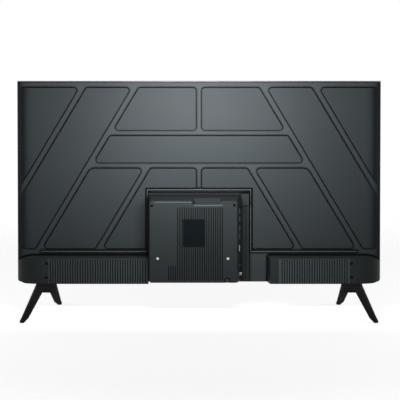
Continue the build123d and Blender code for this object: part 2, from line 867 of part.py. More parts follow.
def housing_back(inner_x, inset):
    """Draw one lower housing as seen from the rear: its two outer corners are ellipses."""
    low = body_bottom + inset
    high = housing_top - inset
    outer = half_width - bezel_wall - inset
    low_x, low_z = outer - housing_low_corner_width, low + housing_low_corner
    top_x, top_z = outer - housing_top_corner_width, high - housing_top_corner
    with BuildSketch(Plane.XZ) as back:
        with BuildLine():
            EllipticalCenterArc(
                (low_x, low_z), housing_low_corner_width, housing_low_corner, start_angle=270, arc_size=90
            )
            Line((outer, low_z), (outer, top_z))
            EllipticalCenterArc(
                (top_x, top_z), housing_top_corner_width, housing_top_corner, start_angle=0, arc_size=90
            )
            Line((top_x, high), (inner_x, high))
            Line((inner_x, high), (inner_x, low))
            Line((inner_x, low), (low_x, low))
        make_face()
    return back.sketch


def housing_side(inset):
    """Draw the side of a lower housing: a bottom that rises to the rear and rounded rear edges."""
    low = body_bottom + inset
    high = housing_top - inset
    rear_y = rear(housing_depth - inset)
    with BuildSketch(Plane.YZ) as side_view:
        with BuildLine():
            Polyline(
                (rear(sheet_front_d), low),
                (rear(channel_d), low),
                (rear_y, low + housing_rear_rise),
                (rear_y, high),
                (rear(sheet_front_d), high),
                close=True,
            )
        make_face()
        fillet(side_view.vertices().sort_by(Axis.X)[-2:], housing_edge)
    return side_view.sketch


def housing_solid(side, inner_x, draft, inset):
    """Shape one lower housing, smaller by an inset all round, on one side of the set."""
    plan = housing_profile(inner_x, draft, inset, sheet_front_d)
    back = housing_back(0, inset)
    if side < 0:
        plan = plan.mirror(Plane.YZ)
        back = back.mirror(Plane.YZ)
    rise(plan, (body_bottom, housing_top))
    slab(back, (sheet_front_d, housing_depth), Mode.INTERSECT)
    extrude(housing_side(inset), amount=half_width, both=True, mode=Mode.INTERSECT)


def housing_shell(side, inner_x, draft, rib_inner, void):
    """Make one lower housing: a thin shell on the sheet with ribs, a slot for the foot and screw tubes."""
    housing_solid(side, inner_x, draft, 0)
    add(void, mode=Mode.SUBTRACT)
    sheet_clearance = curved_outline(
        sheet_clear_d,
        side_curve_drop,
        side_curve_width + fit_gap,
        sheet_half_width + fit_gap,
        sheet_front_d - cut_over,
    )
    rise(sheet_clearance, (body_bottom - cut_over, housing_top + cut_over), Mode.SUBTRACT)
    rib_count = int((rib_outer - rib_inner) / rib_pitch)
    rear_low = body_bottom + housing_rear_rise
    with BuildSketch(at_depth(housing_depth)) as grooves:
        with Locations((side * (rib_outer + rib_inner) / 2, (rear_low + housing_top) / 2)):
            with GridLocations(rib_pitch, rib_pitch, rib_count, 1):
                Rectangle(rib_groove, housing_top - rear_low - 2 * rib_margin)
    extrude(grooves.sketch, amount=rib_groove_depth, mode=Mode.SUBTRACT)
    block(
        (side * (foot_x - tang_width / 2 - fit_gap), side * (foot_x + tang_width / 2 + fit_gap)),
        (tang_d - fit_gap, tang_d + tang_gauge + fit_gap),
        (body_bottom - cut_over, body_bottom + 2 * housing_wall + housing_rear_rise),
        Mode.SUBTRACT,
    )
    head_radius = foot_head_radius + fit_gap
    for z in (foot_screw_low, foot_screw_high):
        rod(side * foot_x, z, head_radius + tube_wall, (tube_front_d, housing_depth - housing_wall / 2))
        rod(side * foot_x, z, head_radius, (foot_seat_d, housing_depth + housing_wall), Mode.SUBTRACT)
        rod(side * foot_x, z, foot_bore_radius, (tang_d, foot_seat_d), Mode.SUBTRACT)


# Lower housings either side of the electronics cover
tube_front_d = tang_d + tang_gauge + fit_gap
foot_seat_d = tube_front_d + housing_wall
left_inner = cover_left + housing_end_gap
left_draft = -cover_left_draft * housing_depth / tower_depth
with BuildPart() as housing_left_void:
    housing_solid(1, left_inner, left_draft, housing_wall)

with BuildPart() as housing_right_void:
    housing_solid(-1, housing_right_inner, housing_right_draft, housing_wall)

with BuildPart() as lower_housing_left:
    housing_shell(1, left_inner, left_draft, rib_left_inner, housing_left_void.part)
finish(lower_housing_left.part, "lower_housing_left")

with BuildPart() as lower_housing_right:
    housing_shell(-1, housing_right_inner, housing_right_draft, rib_right_inner, housing_right_void.part)
finish(lower_housing_right.part, "lower_housing_right")


# Feet: a block under the housing, two splayed legs and a tang that stands up inside the housing
toe_rear_d = foot_rear_reach - toe_length / 2
toe_front_d = toe_length / 2 - foot_front_reach
toes = [(toe_rear_x, toe_rear_d), (toe_front_x, toe_front_d)]
leg_top = foot_height - leg_corner
rear_leg_x = foot_x + (foot_block_width - foot_leg_width) / 2
front_leg_x = foot_x - (foot_block_width - foot_leg_width) / 2


def leg(side, top_x, toe):
    """Loft one leg of a foot from its block down to the toe."""
    out = math.copysign((toe_width - toe_tip_width) / 2, toe[0] - top_x)
    toe_end = (pad_height, toe[0], toe[1], toe_tip_width, toe_length)
    bevel_share = toe_bevel / (leg_top - pad_height)
    bevel_x = toe[0] + (top_x - toe[0]) * bevel_share - out
    bevel_d = toe[1] + (foot_block_d - toe[1]) * bevel_share
    bevel_end = (pad_height + toe_bevel, bevel_x, bevel_d, toe_width, toe_length)
    top_end = (leg_top, top_x, foot_block_d, foot_leg_width, foot_leg_length)
    sections = []
    for z, x, depth, width, length in (toe_end, bevel_end, top_end):
        with BuildSketch(Plane.XY.offset(z)) as section:
            with Locations((side * x, rear(depth))):
                Rectangle(width, length)
            chamfer(section.vertices(), leg_corner)
        sections.append(section.sketch)
    loft(sections, ruled=True)


def foot(side):
    """Make one foot on one side of the set."""
    with BuildSketch(Plane.XY) as plan:
        with Locations((side * foot_x, rear(foot_block_d))):
            Rectangle(foot_block_width, foot_block_depth)
        chamfer(plan.vertices(), leg_corner)
    rise(plan.sketch, (foot_height - foot_crotch, foot_height + housing_rear_rise))
    leg(side, rear_leg_x, toes[0])
    leg(side, front_leg_x, toes[1])
    with BuildSketch(Plane.YZ) as underside:
        with BuildLine():
            Polyline(
                (rear(-foot_front_reach), foot_height - fit_gap),
                (rear(channel_d), foot_height - fit_gap),
                (rear(housing_depth), foot_height + housing_rear_rise - fit_gap),
                (rear(foot_rear_reach), foot_height + housing_rear_rise - fit_gap),
                (rear(foot_rear_reach), foot_height + cut_over),
                (rear(-foot_front_reach), foot_height + cut_over),
                close=True,
            )
        make_face()
    extrude(underside.sketch, amount=half_width, both=True, mode=Mode.SUBTRACT)
    block(
        (side * (foot_x - tang_width / 2), side * (foot_x + tang_width / 2)),
        (tang_d, tang_d + tang_gauge),
        (foot_height - foot_crotch / 2, foot_height + tang_height),
    )
    for z in (foot_screw_low, foot_screw_high):
        bore_ds = (tang_d - fit_gap, tang_d + tang_gauge + fit_gap)
        rod(side * foot_x, z, foot_bore_radius, bore_ds, Mode.SUBTRACT)


with BuildPart() as foot_left:
    foot(1)
finish(foot_left.part, "foot_left")

with BuildPart() as foot_right:
    foot(-1)
finish(foot_right.part, "foot_right")

with BuildPart() as foot_pads:
    with BuildSketch(Plane.XY) as pads:
        for side in (-1, 1):
            for x, depth in toes:
                with Locations((side * x, rear(depth))):
                    Rectangle(toe_tip_width - 2 * pad_inset, toe_length - 2 * pad_inset)
        chamfer(pads.vertices(), leg_corner - pad_inset)
    extrude(pads.sketch, amount=pad_height)
finish(foot_pads.part, "foot_pads")

# Steel brackets on the sheet that take the screws of the feet
bracket_gauge = 1.5
bracket_width = 44.0
bracket_low = 90.0


def foot_bracket(side):
    """Fold one bracket: a web behind the tang and two legs down to the sheet."""
    half = bracket_width / 2
    inner_half = half - bracket_gauge
    zs = (bracket_low, foot_height + tang_height)
    open_zs = (bracket_low - cut_over, zs[1] + cut_over)
    block((side * (foot_x - half), side * (foot_x + half)), (channel_d, tang_d), zs)
    inner_xs = (side * (foot_x - inner_half), side * (foot_x + inner_half))
    block(inner_xs, (channel_d, tang_d - bracket_gauge), open_zs, Mode.SUBTRACT)
    for z in (foot_screw_low, foot_screw_high):
        rod(side * foot_x, z, foot_bore_radius, (channel_d, tang_d + fit_gap), Mode.SUBTRACT)


with BuildPart() as foot_bracket_left:
    foot_bracket(1)
finish(foot_bracket_left.part, "foot_bracket_left")

with BuildPart() as foot_bracket_right:
    foot_bracket(-1)
finish(foot_bracket_right.part, "foot_bracket_right")


slot_width_share = 0.3
slot_depth_share = 0.5


def screw(x, z, head, shank, seat_d, way=1):
    """Make a screw: head and shank are a radius and a length each, and a deep head has a cross slot."""
    top_d = seat_d + way * head[1]
    rod(x, z, head[0], sorted((seat_d, top_d)))
    rod(x, z, shank[0], sorted((seat_d, seat_d - way * shank[1])))
    if head[1] < screw_head_height:
        return
    slot_ds = sorted((top_d, top_d - way * head[1] * slot_depth_share))
    slot_half = head[0] * slot_width_share / 2
    slot_reach = 2 * slot_half
    block((x - slot_reach, x + slot_reach), slot_ds, (z - slot_half, z + slot_half), Mode.SUBTRACT)
    block((x - slot_half, x + slot_half), slot_ds, (z - slot_reach, z + slot_reach), Mode.SUBTRACT)


small_head = (screw_head_radius, screw_head_height)
with BuildPart() as foot_screws:
    for side in (-1, 1):
        for z in (foot_screw_low, foot_screw_high):
            head = (foot_head_radius, foot_head_height)
            screw(side * foot_x, z, head, (foot_shank_radius, foot_shank_length), foot_seat_d)
finish(foot_screws.part, "foot_screws")

low_shank_length = low_screw_seat_d - post_d + post_bore_length / 2
high_shank_length = high_screw_seat_d - post_d + post_bore_length / 2
with BuildPart() as cover_screws:
    for x, z in low_cover_screws:
        screw(x, z, small_head, (screw_shank_radius, low_shank_length), low_screw_seat_d)
finish(cover_screws.part, "cover_screws")

with BuildPart() as top_cover_screws:
    for x, z in high_cover_screws:
        screw(x, z, small_head, (screw_shank_radius, high_shank_length), high_screw_seat_d)
finish(top_cover_screws.part, "top_cover_screws")

board_head = (screw_shank_radius * 2, screw_shank_radius)
with BuildPart() as board_screws:
    for level, places in board_levels:
        for x, z in places:
            length = min(board_screw_length, level - channel_d) + board_gauge - fit_gap
            screw(x, z, board_head, (screw_shank_radius, length), level + board_gauge)
finish(board_screws.part, "board_screws")

# Bare plate on the rear of the cover
with BuildPart() as rating_plate:
    block(
        (plate_x - plate_width / 2, plate_x + plate_width / 2),
        (tower_depth, tower_depth + plate_gauge),
        (plate_z - plate_height / 2, plate_z + plate_height / 2),
    )
    chamfer(rating_plate.faces().sort_by(Axis.Y)[-1].edges(), plate_gauge / 3)
finish(rating_plate.part, "rating_plate")


def board(xs, zs, front_d, screws):
    """Add a bare circuit board with a hole for each of its screws."""
    block(xs, (front_d, front_d + board_gauge), zs)
    for x, z in screws:
        rod(x, z, screw_bore_radius, (front_d - fit_gap, front_d + board_gauge + fit_gap), Mode.SUBTRACT)


def pass_post(place, front_d):
    """Open a board round a spacer of the cover that passes through it."""
    hole_ds = (front_d - fit_gap, front_d + board_gauge + fit_gap)
    rod(*place, post_radius + 2 * fit_gap, hole_ds, Mode.SUBTRACT)


# Parts soldered to the boards, each with the X and Z of its middle, its two sides and its height
chip_height = 1.6
main_chips = [
    (-52.0, 214.0, 30.0, 30.0, chip_height),
    (-22.0, 214.0, 12.0, 9.0, chip_height),
    (-22.0, 196.0, 12.0, 9.0, chip_height),
    (-30.0, 168.0, 9.0, 9.0, chip_height),
    (-24.0, 126.0, 8.0, 22.0, 4.0),
]
power_chips = [
    (40.0, 262.0, 22.0, 12.0, 9.0),
    (66.0, 262.0, 16.0, 14.0, 11.0),
    (90.0, 262.0, 18.0, 16.0, 14.0),
    (42.0, 132.0, 10.0, 20.0, 7.0),
    (72.0, 134.0, 10.0, 10.0, 8.0),
]
timing_chips = [(60.0, 97.0, 14.0, 10.0, chip_height), (90.0, 97.0, 9.0, 9.0, chip_height)]


def solder(parts, face_d):
    """Stand a list of small parts on the rear face of a board."""
    for x, z, wide, tall, height in parts:
        block((x - wide / 2, x + wide / 2), (face_d, face_d + height), (z - tall / 2, z + tall / 2))


# Flat cable and its two connectors
cable_gauge = 0.4
cable_low = 97.5
cable_width = 6.5
cable_edge_gap = 2.5
cable_rise_x = main_board_left + cable_edge_gap
plug_length = 6.0
plug_height = 2.2
plug_margin = 0.5
cable_lap = 4.0
main_face_d = main_board_d + board_gauge
timing_face_d = timing_board_d + board_gauge
main_plug_inset = 4.0
timing_plug_inset = 12.0
main_plug_left = main_board_left - main_plug_inset
timing_plug_right = timing_board_right + timing_plug_inset
plug_zs = (cable_low - plug_margin, cable_low + cable_width + plug_margin)

with BuildPart() as main_board:
    board(main_board_xs, main_board_zs, main_board_d, main_board_screws)
    pass_post(low_cover_screws[1], main_board_d)
    solder(main_chips, main_face_d)
    block((main_plug_left - plug_length, main_plug_left), (main_face_d, main_face_d + plug_height), plug_zs)
finish(main_board.part, "main_board")

with BuildPart() as power_board:
    board(power_board_xs, power_board_zs, power_board_d, power_board_screws)
    pass_post(low_cover_screws[0], power_board_d)
    solder(power_chips, power_board_d + board_gauge)
finish(power_board.part, "power_board")

with BuildPart() as timing_board:
    board(timing_board_xs, timing_board_zs, timing_board_d, timing_board_screws)
    solder(timing_chips, timing_face_d)
    plug_xs = (timing_plug_right, timing_plug_right + plug_length)
    block(plug_xs, (timing_face_d, timing_face_d + plug_height), plug_zs)
finish(timing_board.part, "timing_board")

with BuildPart() as signal_flat_cable:
    cable_zs = (cable_low, cable_low + cable_width)
    low_ds = (timing_face_d + plug_height, timing_face_d + plug_height + cable_gauge)
    high_ds = (main_face_d + plug_height, main_face_d + plug_height + cable_gauge)
    block((cable_rise_x, timing_plug_right + cable_lap), low_ds, cable_zs)
    block((cable_rise_x, cable_rise_x - cable_gauge), (low_ds[0], high_ds[1]), cable_zs)
    block((main_plug_left - cable_lap, cable_rise_x), high_ds, cable_zs)
finish(signal_flat_cable.part, "signal_flat_cable")


def finned(x, z, wide, tall, base_d, base, fins, fin_count):
    """Add a heat sink: a base plate with upright fins."""
    block((x - wide / 2, x + wide / 2), (base_d, base_d + base), (z - tall / 2, z + tall / 2))
    pitch = (wide - sink_fin_gauge) / (fin_count - 1)
    with Locations((x, rear(base_d + base + fins / 2), z)):
        with GridLocations(pitch, pitch, fin_count, 1):
            Box(sink_fin_gauge, fins, tall)


sink_base = 2.0
sink_fins = 11.0
sink_fin_gauge = 1.2
main_sink_side = 34.0
main_fin_count = 7
with BuildPart() as main_heat_sink:
    chip_x, chip_z = main_chips[0][0], main_chips[0][1]
    sink_d = main_face_d + chip_height
    finned(chip_x, chip_z, main_sink_side, main_sink_side, sink_d, sink_base, sink_fins, main_fin_count)
finish(main_heat_sink.part, "main_heat_sink")

wifi_width = 24.0
wifi_height = 18.0
wifi_gauge = 1.0
wifi_can = 1.6
can_share = 2 / 3
wifi_x = -34.0
wifi_z = 262.0
with BuildPart() as wifi_module:
    solder([(wifi_x, wifi_z, wifi_width, wifi_height, wifi_gauge)], main_face_d)
    solder([(wifi_x, wifi_z, wifi_width * can_share, wifi_height * can_share, wifi_can)], main_face_d + wifi_gauge)
finish(wifi_module.part, "wifi_module")

power_face_d = power_board_d + board_gauge
core_width = 36.0
core_height = 32.0
core_depth = 26.0
core_side = 7.0
transformer_x = 96.0
transformer_z = 208.0
with BuildPart() as power_transformer:
    core_xs = (transformer_x - core_width / 2, transformer_x + core_width / 2)
    solder([(transformer_x, transformer_z, core_width, core_height, core_depth)], power_face_d)
    for side in (-1, 1):
        window_z = transformer_z + side * core_height / 2
        window_xs = (core_xs[0] + core_side, core_xs[1] - core_side)
        window_ds = (power_face_d + core_side / 2, power_face_d + core_depth - core_side)
        block(window_xs, window_ds, (window_z - core_side / 2, window_z + core_side / 2), Mode.SUBTRACT)
finish(power_transformer.part, "power_transformer")

capacitor_radius = 9.0
capacitor_length = 30.0
capacitor_rim = 3.0
capacitor_dish = 0.5
capacitor_places = [(38.0, 158.0), (60.0, 158.0), (82.0, 158.0)]
with BuildPart() as filter_capacitors:
    capacitor_end_d = power_face_d + capacitor_length
    dish_ds = (capacitor_end_d - capacitor_dish, capacitor_end_d)
    for x, z in capacitor_places:
        rod(x, z, capacitor_radius, (power_face_d, capacitor_end_d))
        rod(x, z, capacitor_radius - capacitor_rim, dish_ds, Mode.SUBTRACT)
finish(filter_capacitors.part, "filter_capacitors")

power_sink_width = 26.0
power_sink_height = 48.0
power_sink_x = 50.0
power_fin_count = 5
power_sink_fins = 22.0
with BuildPart() as power_heat_sink:
    power_sink_plan = (power_sink_width, power_sink_height)
    finned(power_sink_x, transformer_z, *power_sink_plan, power_face_d, sink_base, power_sink_fins, power_fin_count)
finish(power_heat_sink.part, "power_heat_sink")


# Sockets along the edge of the main board, mouths towards -X
socket_set_back = 1.5
mouth_x = port_wall_x + socket_set_back


def socket_body(z, size, length):
    """Add the body of one socket on the main board."""
    block((mouth_x, mouth_x + length), (socket_d, socket_d + size[1]), (z - size[0] / 2, z + size[0] / 2))


def socket_cavity(z, size, wall, length):
    """Open a socket from its mouth, leaving a wall all round."""
    block(
        (mouth_x - wall, mouth_x + length),
        (socket_d + wall, socket_d + size[1] - wall),
        (z - size[0] / 2 + wall, z + size[0] / 2 - wall),
        Mode.SUBTRACT,
    )


def tongue(z, size, wide, gauge, length):
    """Add the contact tongue inside a socket."""
    mid_d = socket_d + size[1] / 2
    tongue_ds = (mid_d - gauge / 2, mid_d + gauge / 2)
    block((mouth_x + socket_mouth, mouth_x + length), tongue_ds, (z - wide / 2, z + wide / 2))


usb_length = 14.0
hdmi_length = 12.0
lan_length = 18.0
audio_length = 12.0
usb_tongue = (10.8, 1.4)
hdmi_tongue = (11.0, 1.2)
with BuildPart() as usb_socket_1:
    socket_body(usb_heights[0], usb_size, usb_length)
    socket_cavity(usb_heights[0], usb_size, socket_shell, usb_length - 2 * socket_shell)
    tongue(usb_heights[0], usb_size, usb_tongue[0], usb_tongue[1], usb_length - socket_shell)
finish(usb_socket_1.part, "usb_socket_1")

with BuildPart() as usb_socket_2:
    socket_body(usb_heights[1], usb_size, usb_length)
    socket_cavity(usb_heights[1], usb_size, socket_shell, usb_length - 2 * socket_shell)
    tongue(usb_heights[1], usb_size, usb_tongue[0], usb_tongue[1], usb_length - socket_shell)
finish(usb_socket_2.part, "usb_socket_2")

with BuildPart() as hdmi_socket_1:
    socket_body(hdmi_heights[0], hdmi_size, hdmi_length)
    socket_cavity(hdmi_heights[0], hdmi_size, socket_shell, hdmi_length - 2 * socket_shell)
    tongue(hdmi_heights[0], hdmi_size, hdmi_tongue[0], hdmi_tongue[1], hdmi_length - socket_shell)
finish(hdmi_socket_1.part, "hdmi_socket_1")

with BuildPart() as hdmi_socket_2:
    socket_body(hdmi_heights[1], hdmi_size, hdmi_length)
    socket_cavity(hdmi_heights[1], hdmi_size, socket_shell, hdmi_length - 2 * socket_shell)
    tongue(hdmi_heights[1], hdmi_size, hdmi_tongue[0], hdmi_tongue[1], hdmi_length - socket_shell)
finish(hdmi_socket_2.part, "hdmi_socket_2")

lan_wall = 2.0
with BuildPart() as lan_socket:
    socket_body(lan_z, lan_size, lan_length)
    socket_cavity(lan_z, lan_size, lan_wall, lan_length - 2 * lan_wall)
finish(lan_socket.part, "lan_socket")

optical_wall = 2.2
optical_recess = 2.0
with BuildPart() as optical_socket:
    socket_body(optical_z, optical_size, audio_length)
    socket_cavity(optical_z, optical_size, optical_wall, optical_recess)
finish(optical_socket.part, "optical_socket")


def bore_x(z, mid_d, radius, xs, mode):
    """Add or cut a cylinder along X at one Z and depth."""
    with BuildSketch(Plane.YZ.offset(min(xs))) as disc:
        with Locations((rear(mid_d), z)):
            Circle(radius)
    extrude(disc.sketch, amount=abs(xs[1] - xs[0]), mode=mode)


jack_radius = 1.8
jack_collar_radius = 3.4
jack_collar = 1.2
jack_depth = 11.0
with BuildPart() as av_socket:
    jack_d = socket_d + av_size[1] / 2
    socket_body(av_z, av_size, audio_length)
    bore_x(av_z, jack_d, jack_collar_radius, (mouth_x - jack_collar, mouth_x), Mode.ADD)
    jack_xs = (mouth_x - jack_collar, mouth_x + jack_depth - jack_collar)
    bore_x(av_z, jack_d, jack_radius, jack_xs, Mode.SUBTRACT)
finish(av_socket.part, "av_socket")

barrel_radius = 4.75
barrel_length = 5.0
barrel_bore = 3.2
barrel_pin = 0.6
thread_pitch = 2.0
thread_depth = 0.35
with BuildPart() as antenna_socket:
    barrel_d = socket_d + antenna_size[1] / 2
    socket_body(antenna_z, antenna_size, audio_length)
    bore_x(antenna_z, barrel_d, barrel_radius - thread_depth, (mouth_x - barrel_length, mouth_x), Mode.ADD)
    for turn in range(int(barrel_length / thread_pitch)):
        turn_x = mouth_x - barrel_length + turn * thread_pitch
        bore_x(antenna_z, barrel_d, barrel_radius, (turn_x, turn_x + thread_pitch / 2), Mode.ADD)
    bore_x(antenna_z, barrel_d, barrel_bore, (mouth_x - barrel_length, mouth_x), Mode.SUBTRACT)
    bore_x(antenna_z, barrel_d, barrel_pin, (mouth_x - barrel_length / 2, mouth_x), Mode.ADD)
finish(antenna_socket.part, "antenna_socket")

# Mains inlet held by the side wall of the pocket, mouth towards -X
inlet_mouth_x = pocket_left - inlet_flange / 2
waist_share = 2 / 3
with BuildPart() as mains_inlet:
    inlet_ds = (inlet_d - inlet_width / 2, inlet_d + inlet_width / 2)
    inlet_zs = (inlet_z - inlet_height / 2, inlet_z + inlet_height / 2)
    block((inlet_mouth_x, inlet_mouth_x + inlet_length), inlet_ds, inlet_zs)
    flange_xs = (pocket_left + pocket_wall, pocket_left + pocket_wall + inlet_flange)
    flange_ends = (inlet_ds[0] - inlet_flange, inlet_ds[1] + inlet_flange)
    block(flange_xs, flange_ends, (inlet_zs[0] - inlet_flange, inlet_zs[1] + inlet_flange))
    lobe_radius = inlet_cavity_height / 2
    cavity_xs = (inlet_mouth_x, inlet_mouth_x + inlet_cavity_depth)
    for side in (-1, 1):
        lobe_d = inlet_d + side * (inlet_cavity_width / 2 - lobe_radius)
        bore_x(inlet_z, lobe_d, lobe_radius, cavity_xs, Mode.SUBTRACT)
    waist_half = inlet_cavity_width / 2 - lobe_radius
    waist_ds = (inlet_d - waist_half, inlet_d + waist_half)
    waist_height = lobe_radius * waist_share
    block(cavity_xs, waist_ds, (inlet_z - waist_height, inlet_z + waist_height), Mode.SUBTRACT)
    for side in (-1, 1):
        pin_xs = (inlet_mouth_x + inlet_flange, inlet_mouth_x + inlet_cavity_depth)
        bore_x(inlet_z, inlet_d + side * inlet_pin_pitch / 2, inlet_pin_radius, pin_xs, Mode.ADD)
finish(mains_inlet.part, "mains_inlet")

# Power key: a round cap on a stem with a collar behind the recess
with BuildPart() as control_key:
    cap_front_d = key_floor_d + key_travel + fit_gap
    rod(key_x, key_z, key_radius, (cap_front_d, cap_front_d + key_length))
    chamfer(control_key.faces().sort_by(Axis.Y)[-1].edges(), key_edge)
    rod(key_x, key_z, key_stem_radius, (key_rest_d, cap_front_d))
    rod(key_x, key_z, key_collar_radius, (key_inner_d - fit_gap - key_collar_height, key_inner_d - fit_gap))
finish(control_key.part, "control_key")

with BuildPart() as key_board:
    key_board_xs = (key_x - key_board_width / 2, key_x + key_board_width / 2)
    key_board_zs = (key_post_z - key_board_height / 2, key_post_z + key_board_height / 2)
    board(key_board_xs, key_board_zs, key_board_d, key_screw_places)
    solder([(key_x, key_z, switch_size, switch_size, switch_height)], key_board_d + board_gauge)
    plunger_d = key_board_d + board_gauge + switch_height
    rod(key_x, key_z, plunger_radius, (plunger_d, plunger_d + plunger_height))
finish(key_board.part, "key_board")

with BuildPart() as key_board_screws:
    for x, z in key_screw_places:
        screw(x, z, board_head, (screw_shank_radius, board_screw_length), key_board_d, -1)
finish(key_board_screws.part, "key_board_screws")

# Loudspeakers: closed boxes in the lower housings, their cones facing down
speaker_low = 89.0
speaker_height = 56.0
speaker_rear_d = 24.0
speaker_share = 0.62
speaker_room = foot_x - bracket_width / 2 - housing_right_inner - housing_right_draft
speaker_length = speaker_share * speaker_room
speaker_outer = foot_x - bracket_width / 2 - (speaker_room - speaker_length) / 3
cone_length = 60.0
cone_width = 16.0
cone_depth = 5.0


def speaker(side):
    """Add one loudspeaker box with an oval cone opening in its lower face."""
    mid_x = side * (speaker_outer - speaker_length / 2)
    speaker_xs = (mid_x - speaker_length / 2, mid_x + speaker_length / 2)
    block(speaker_xs, (channel_d, speaker_rear_d), (speaker_low, speaker_low + speaker_height))
    with BuildSketch(Plane.XY.offset(speaker_low)) as cone:
        with Locations((mid_x, rear((channel_d + speaker_rear_d) / 2))):
            SlotOverall(cone_length, cone_width)
    extrude(cone.sketch, amount=cone_depth, dir=(0, 0, 1), mode=Mode.SUBTRACT)


with BuildPart() as speaker_left:
    speaker(1)
finish(speaker_left.part, "speaker_left")

with BuildPart() as speaker_right:
    speaker(-1)
finish(speaker_right.part, "speaker_right")
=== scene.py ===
"""Looks of a flat screen television seen from the rear, dressed on its fixed frame.

Metres. +Z is up, the screen faces -Y and +Y is the rear, which the camera looks at. Depths are
counted from the raised face of the back sheet, positive towards the rear, as in the solid model.
"""

import json
import logging
import math
from dataclasses import dataclass
from enum import Enum
from typing import Iterable, Sequence

import bpy
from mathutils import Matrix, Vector

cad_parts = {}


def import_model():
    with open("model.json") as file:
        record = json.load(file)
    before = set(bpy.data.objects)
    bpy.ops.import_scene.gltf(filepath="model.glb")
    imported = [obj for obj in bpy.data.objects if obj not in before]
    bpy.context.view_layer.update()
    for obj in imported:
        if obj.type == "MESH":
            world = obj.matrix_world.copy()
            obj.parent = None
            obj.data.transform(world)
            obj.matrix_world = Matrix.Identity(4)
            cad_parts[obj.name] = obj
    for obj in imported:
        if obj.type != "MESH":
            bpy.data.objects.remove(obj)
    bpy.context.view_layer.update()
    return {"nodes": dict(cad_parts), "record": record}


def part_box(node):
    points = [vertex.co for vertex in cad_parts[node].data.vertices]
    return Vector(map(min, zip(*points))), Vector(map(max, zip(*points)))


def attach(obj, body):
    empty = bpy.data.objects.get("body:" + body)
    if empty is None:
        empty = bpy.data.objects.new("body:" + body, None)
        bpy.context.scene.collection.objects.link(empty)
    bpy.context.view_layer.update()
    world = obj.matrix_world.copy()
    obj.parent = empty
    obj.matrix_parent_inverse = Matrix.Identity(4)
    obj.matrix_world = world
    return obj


log = logging.getLogger("television")

MM = 0.001
SHEET_Y = -22.5 * MM
QUARTER_TURN = math.radians(90.0)
SET_BODY = "set"
SIDE_NAMES = {-1: "front", 1: "rear"}
Colour = tuple[float, float, float]
Triple = tuple[float, float, float]
Pair = tuple[float, float]
Socket = bpy.types.NodeSocket
WHITE = (1.0, 1.0, 1.0, 1.0)


def rear(depth_mm: float) -> float:
    """Turn a depth behind the raised face of the sheet into a Y.

    Args:
        depth_mm: depth in millimetres, positive towards the rear.

    Returns:
        The Y in metres.
    """
    return SHEET_Y + depth_mm * MM


class Surface(Enum):
    """How the surface of a finish is textured."""

    GRAIN = "grain"
    BRUSHED = "brushed"
    BOARD = "board"
    GROOVED = "grooved"
    PRESSED = "pressed"
    GRIP = "grip"


@dataclass(frozen=True)
class Finish:
    """One finish, with everything that its shader needs."""

    slot: str
    colour: Colour
    rough: float
    surface: Surface = Surface.GRAIN
    metal: float = 0.0
    second: Colour | None = None
    grain_mm: float = 0.6
    bump_mm: float = 0.02
    rough_spread: float = 0.06
    tone_spread: float = 0.10
    coat: float = 0.0
    coat_rough: float = 0.12
    transmission: float = 0.0
    ior: float = 1.5
    shine: float = 0.5


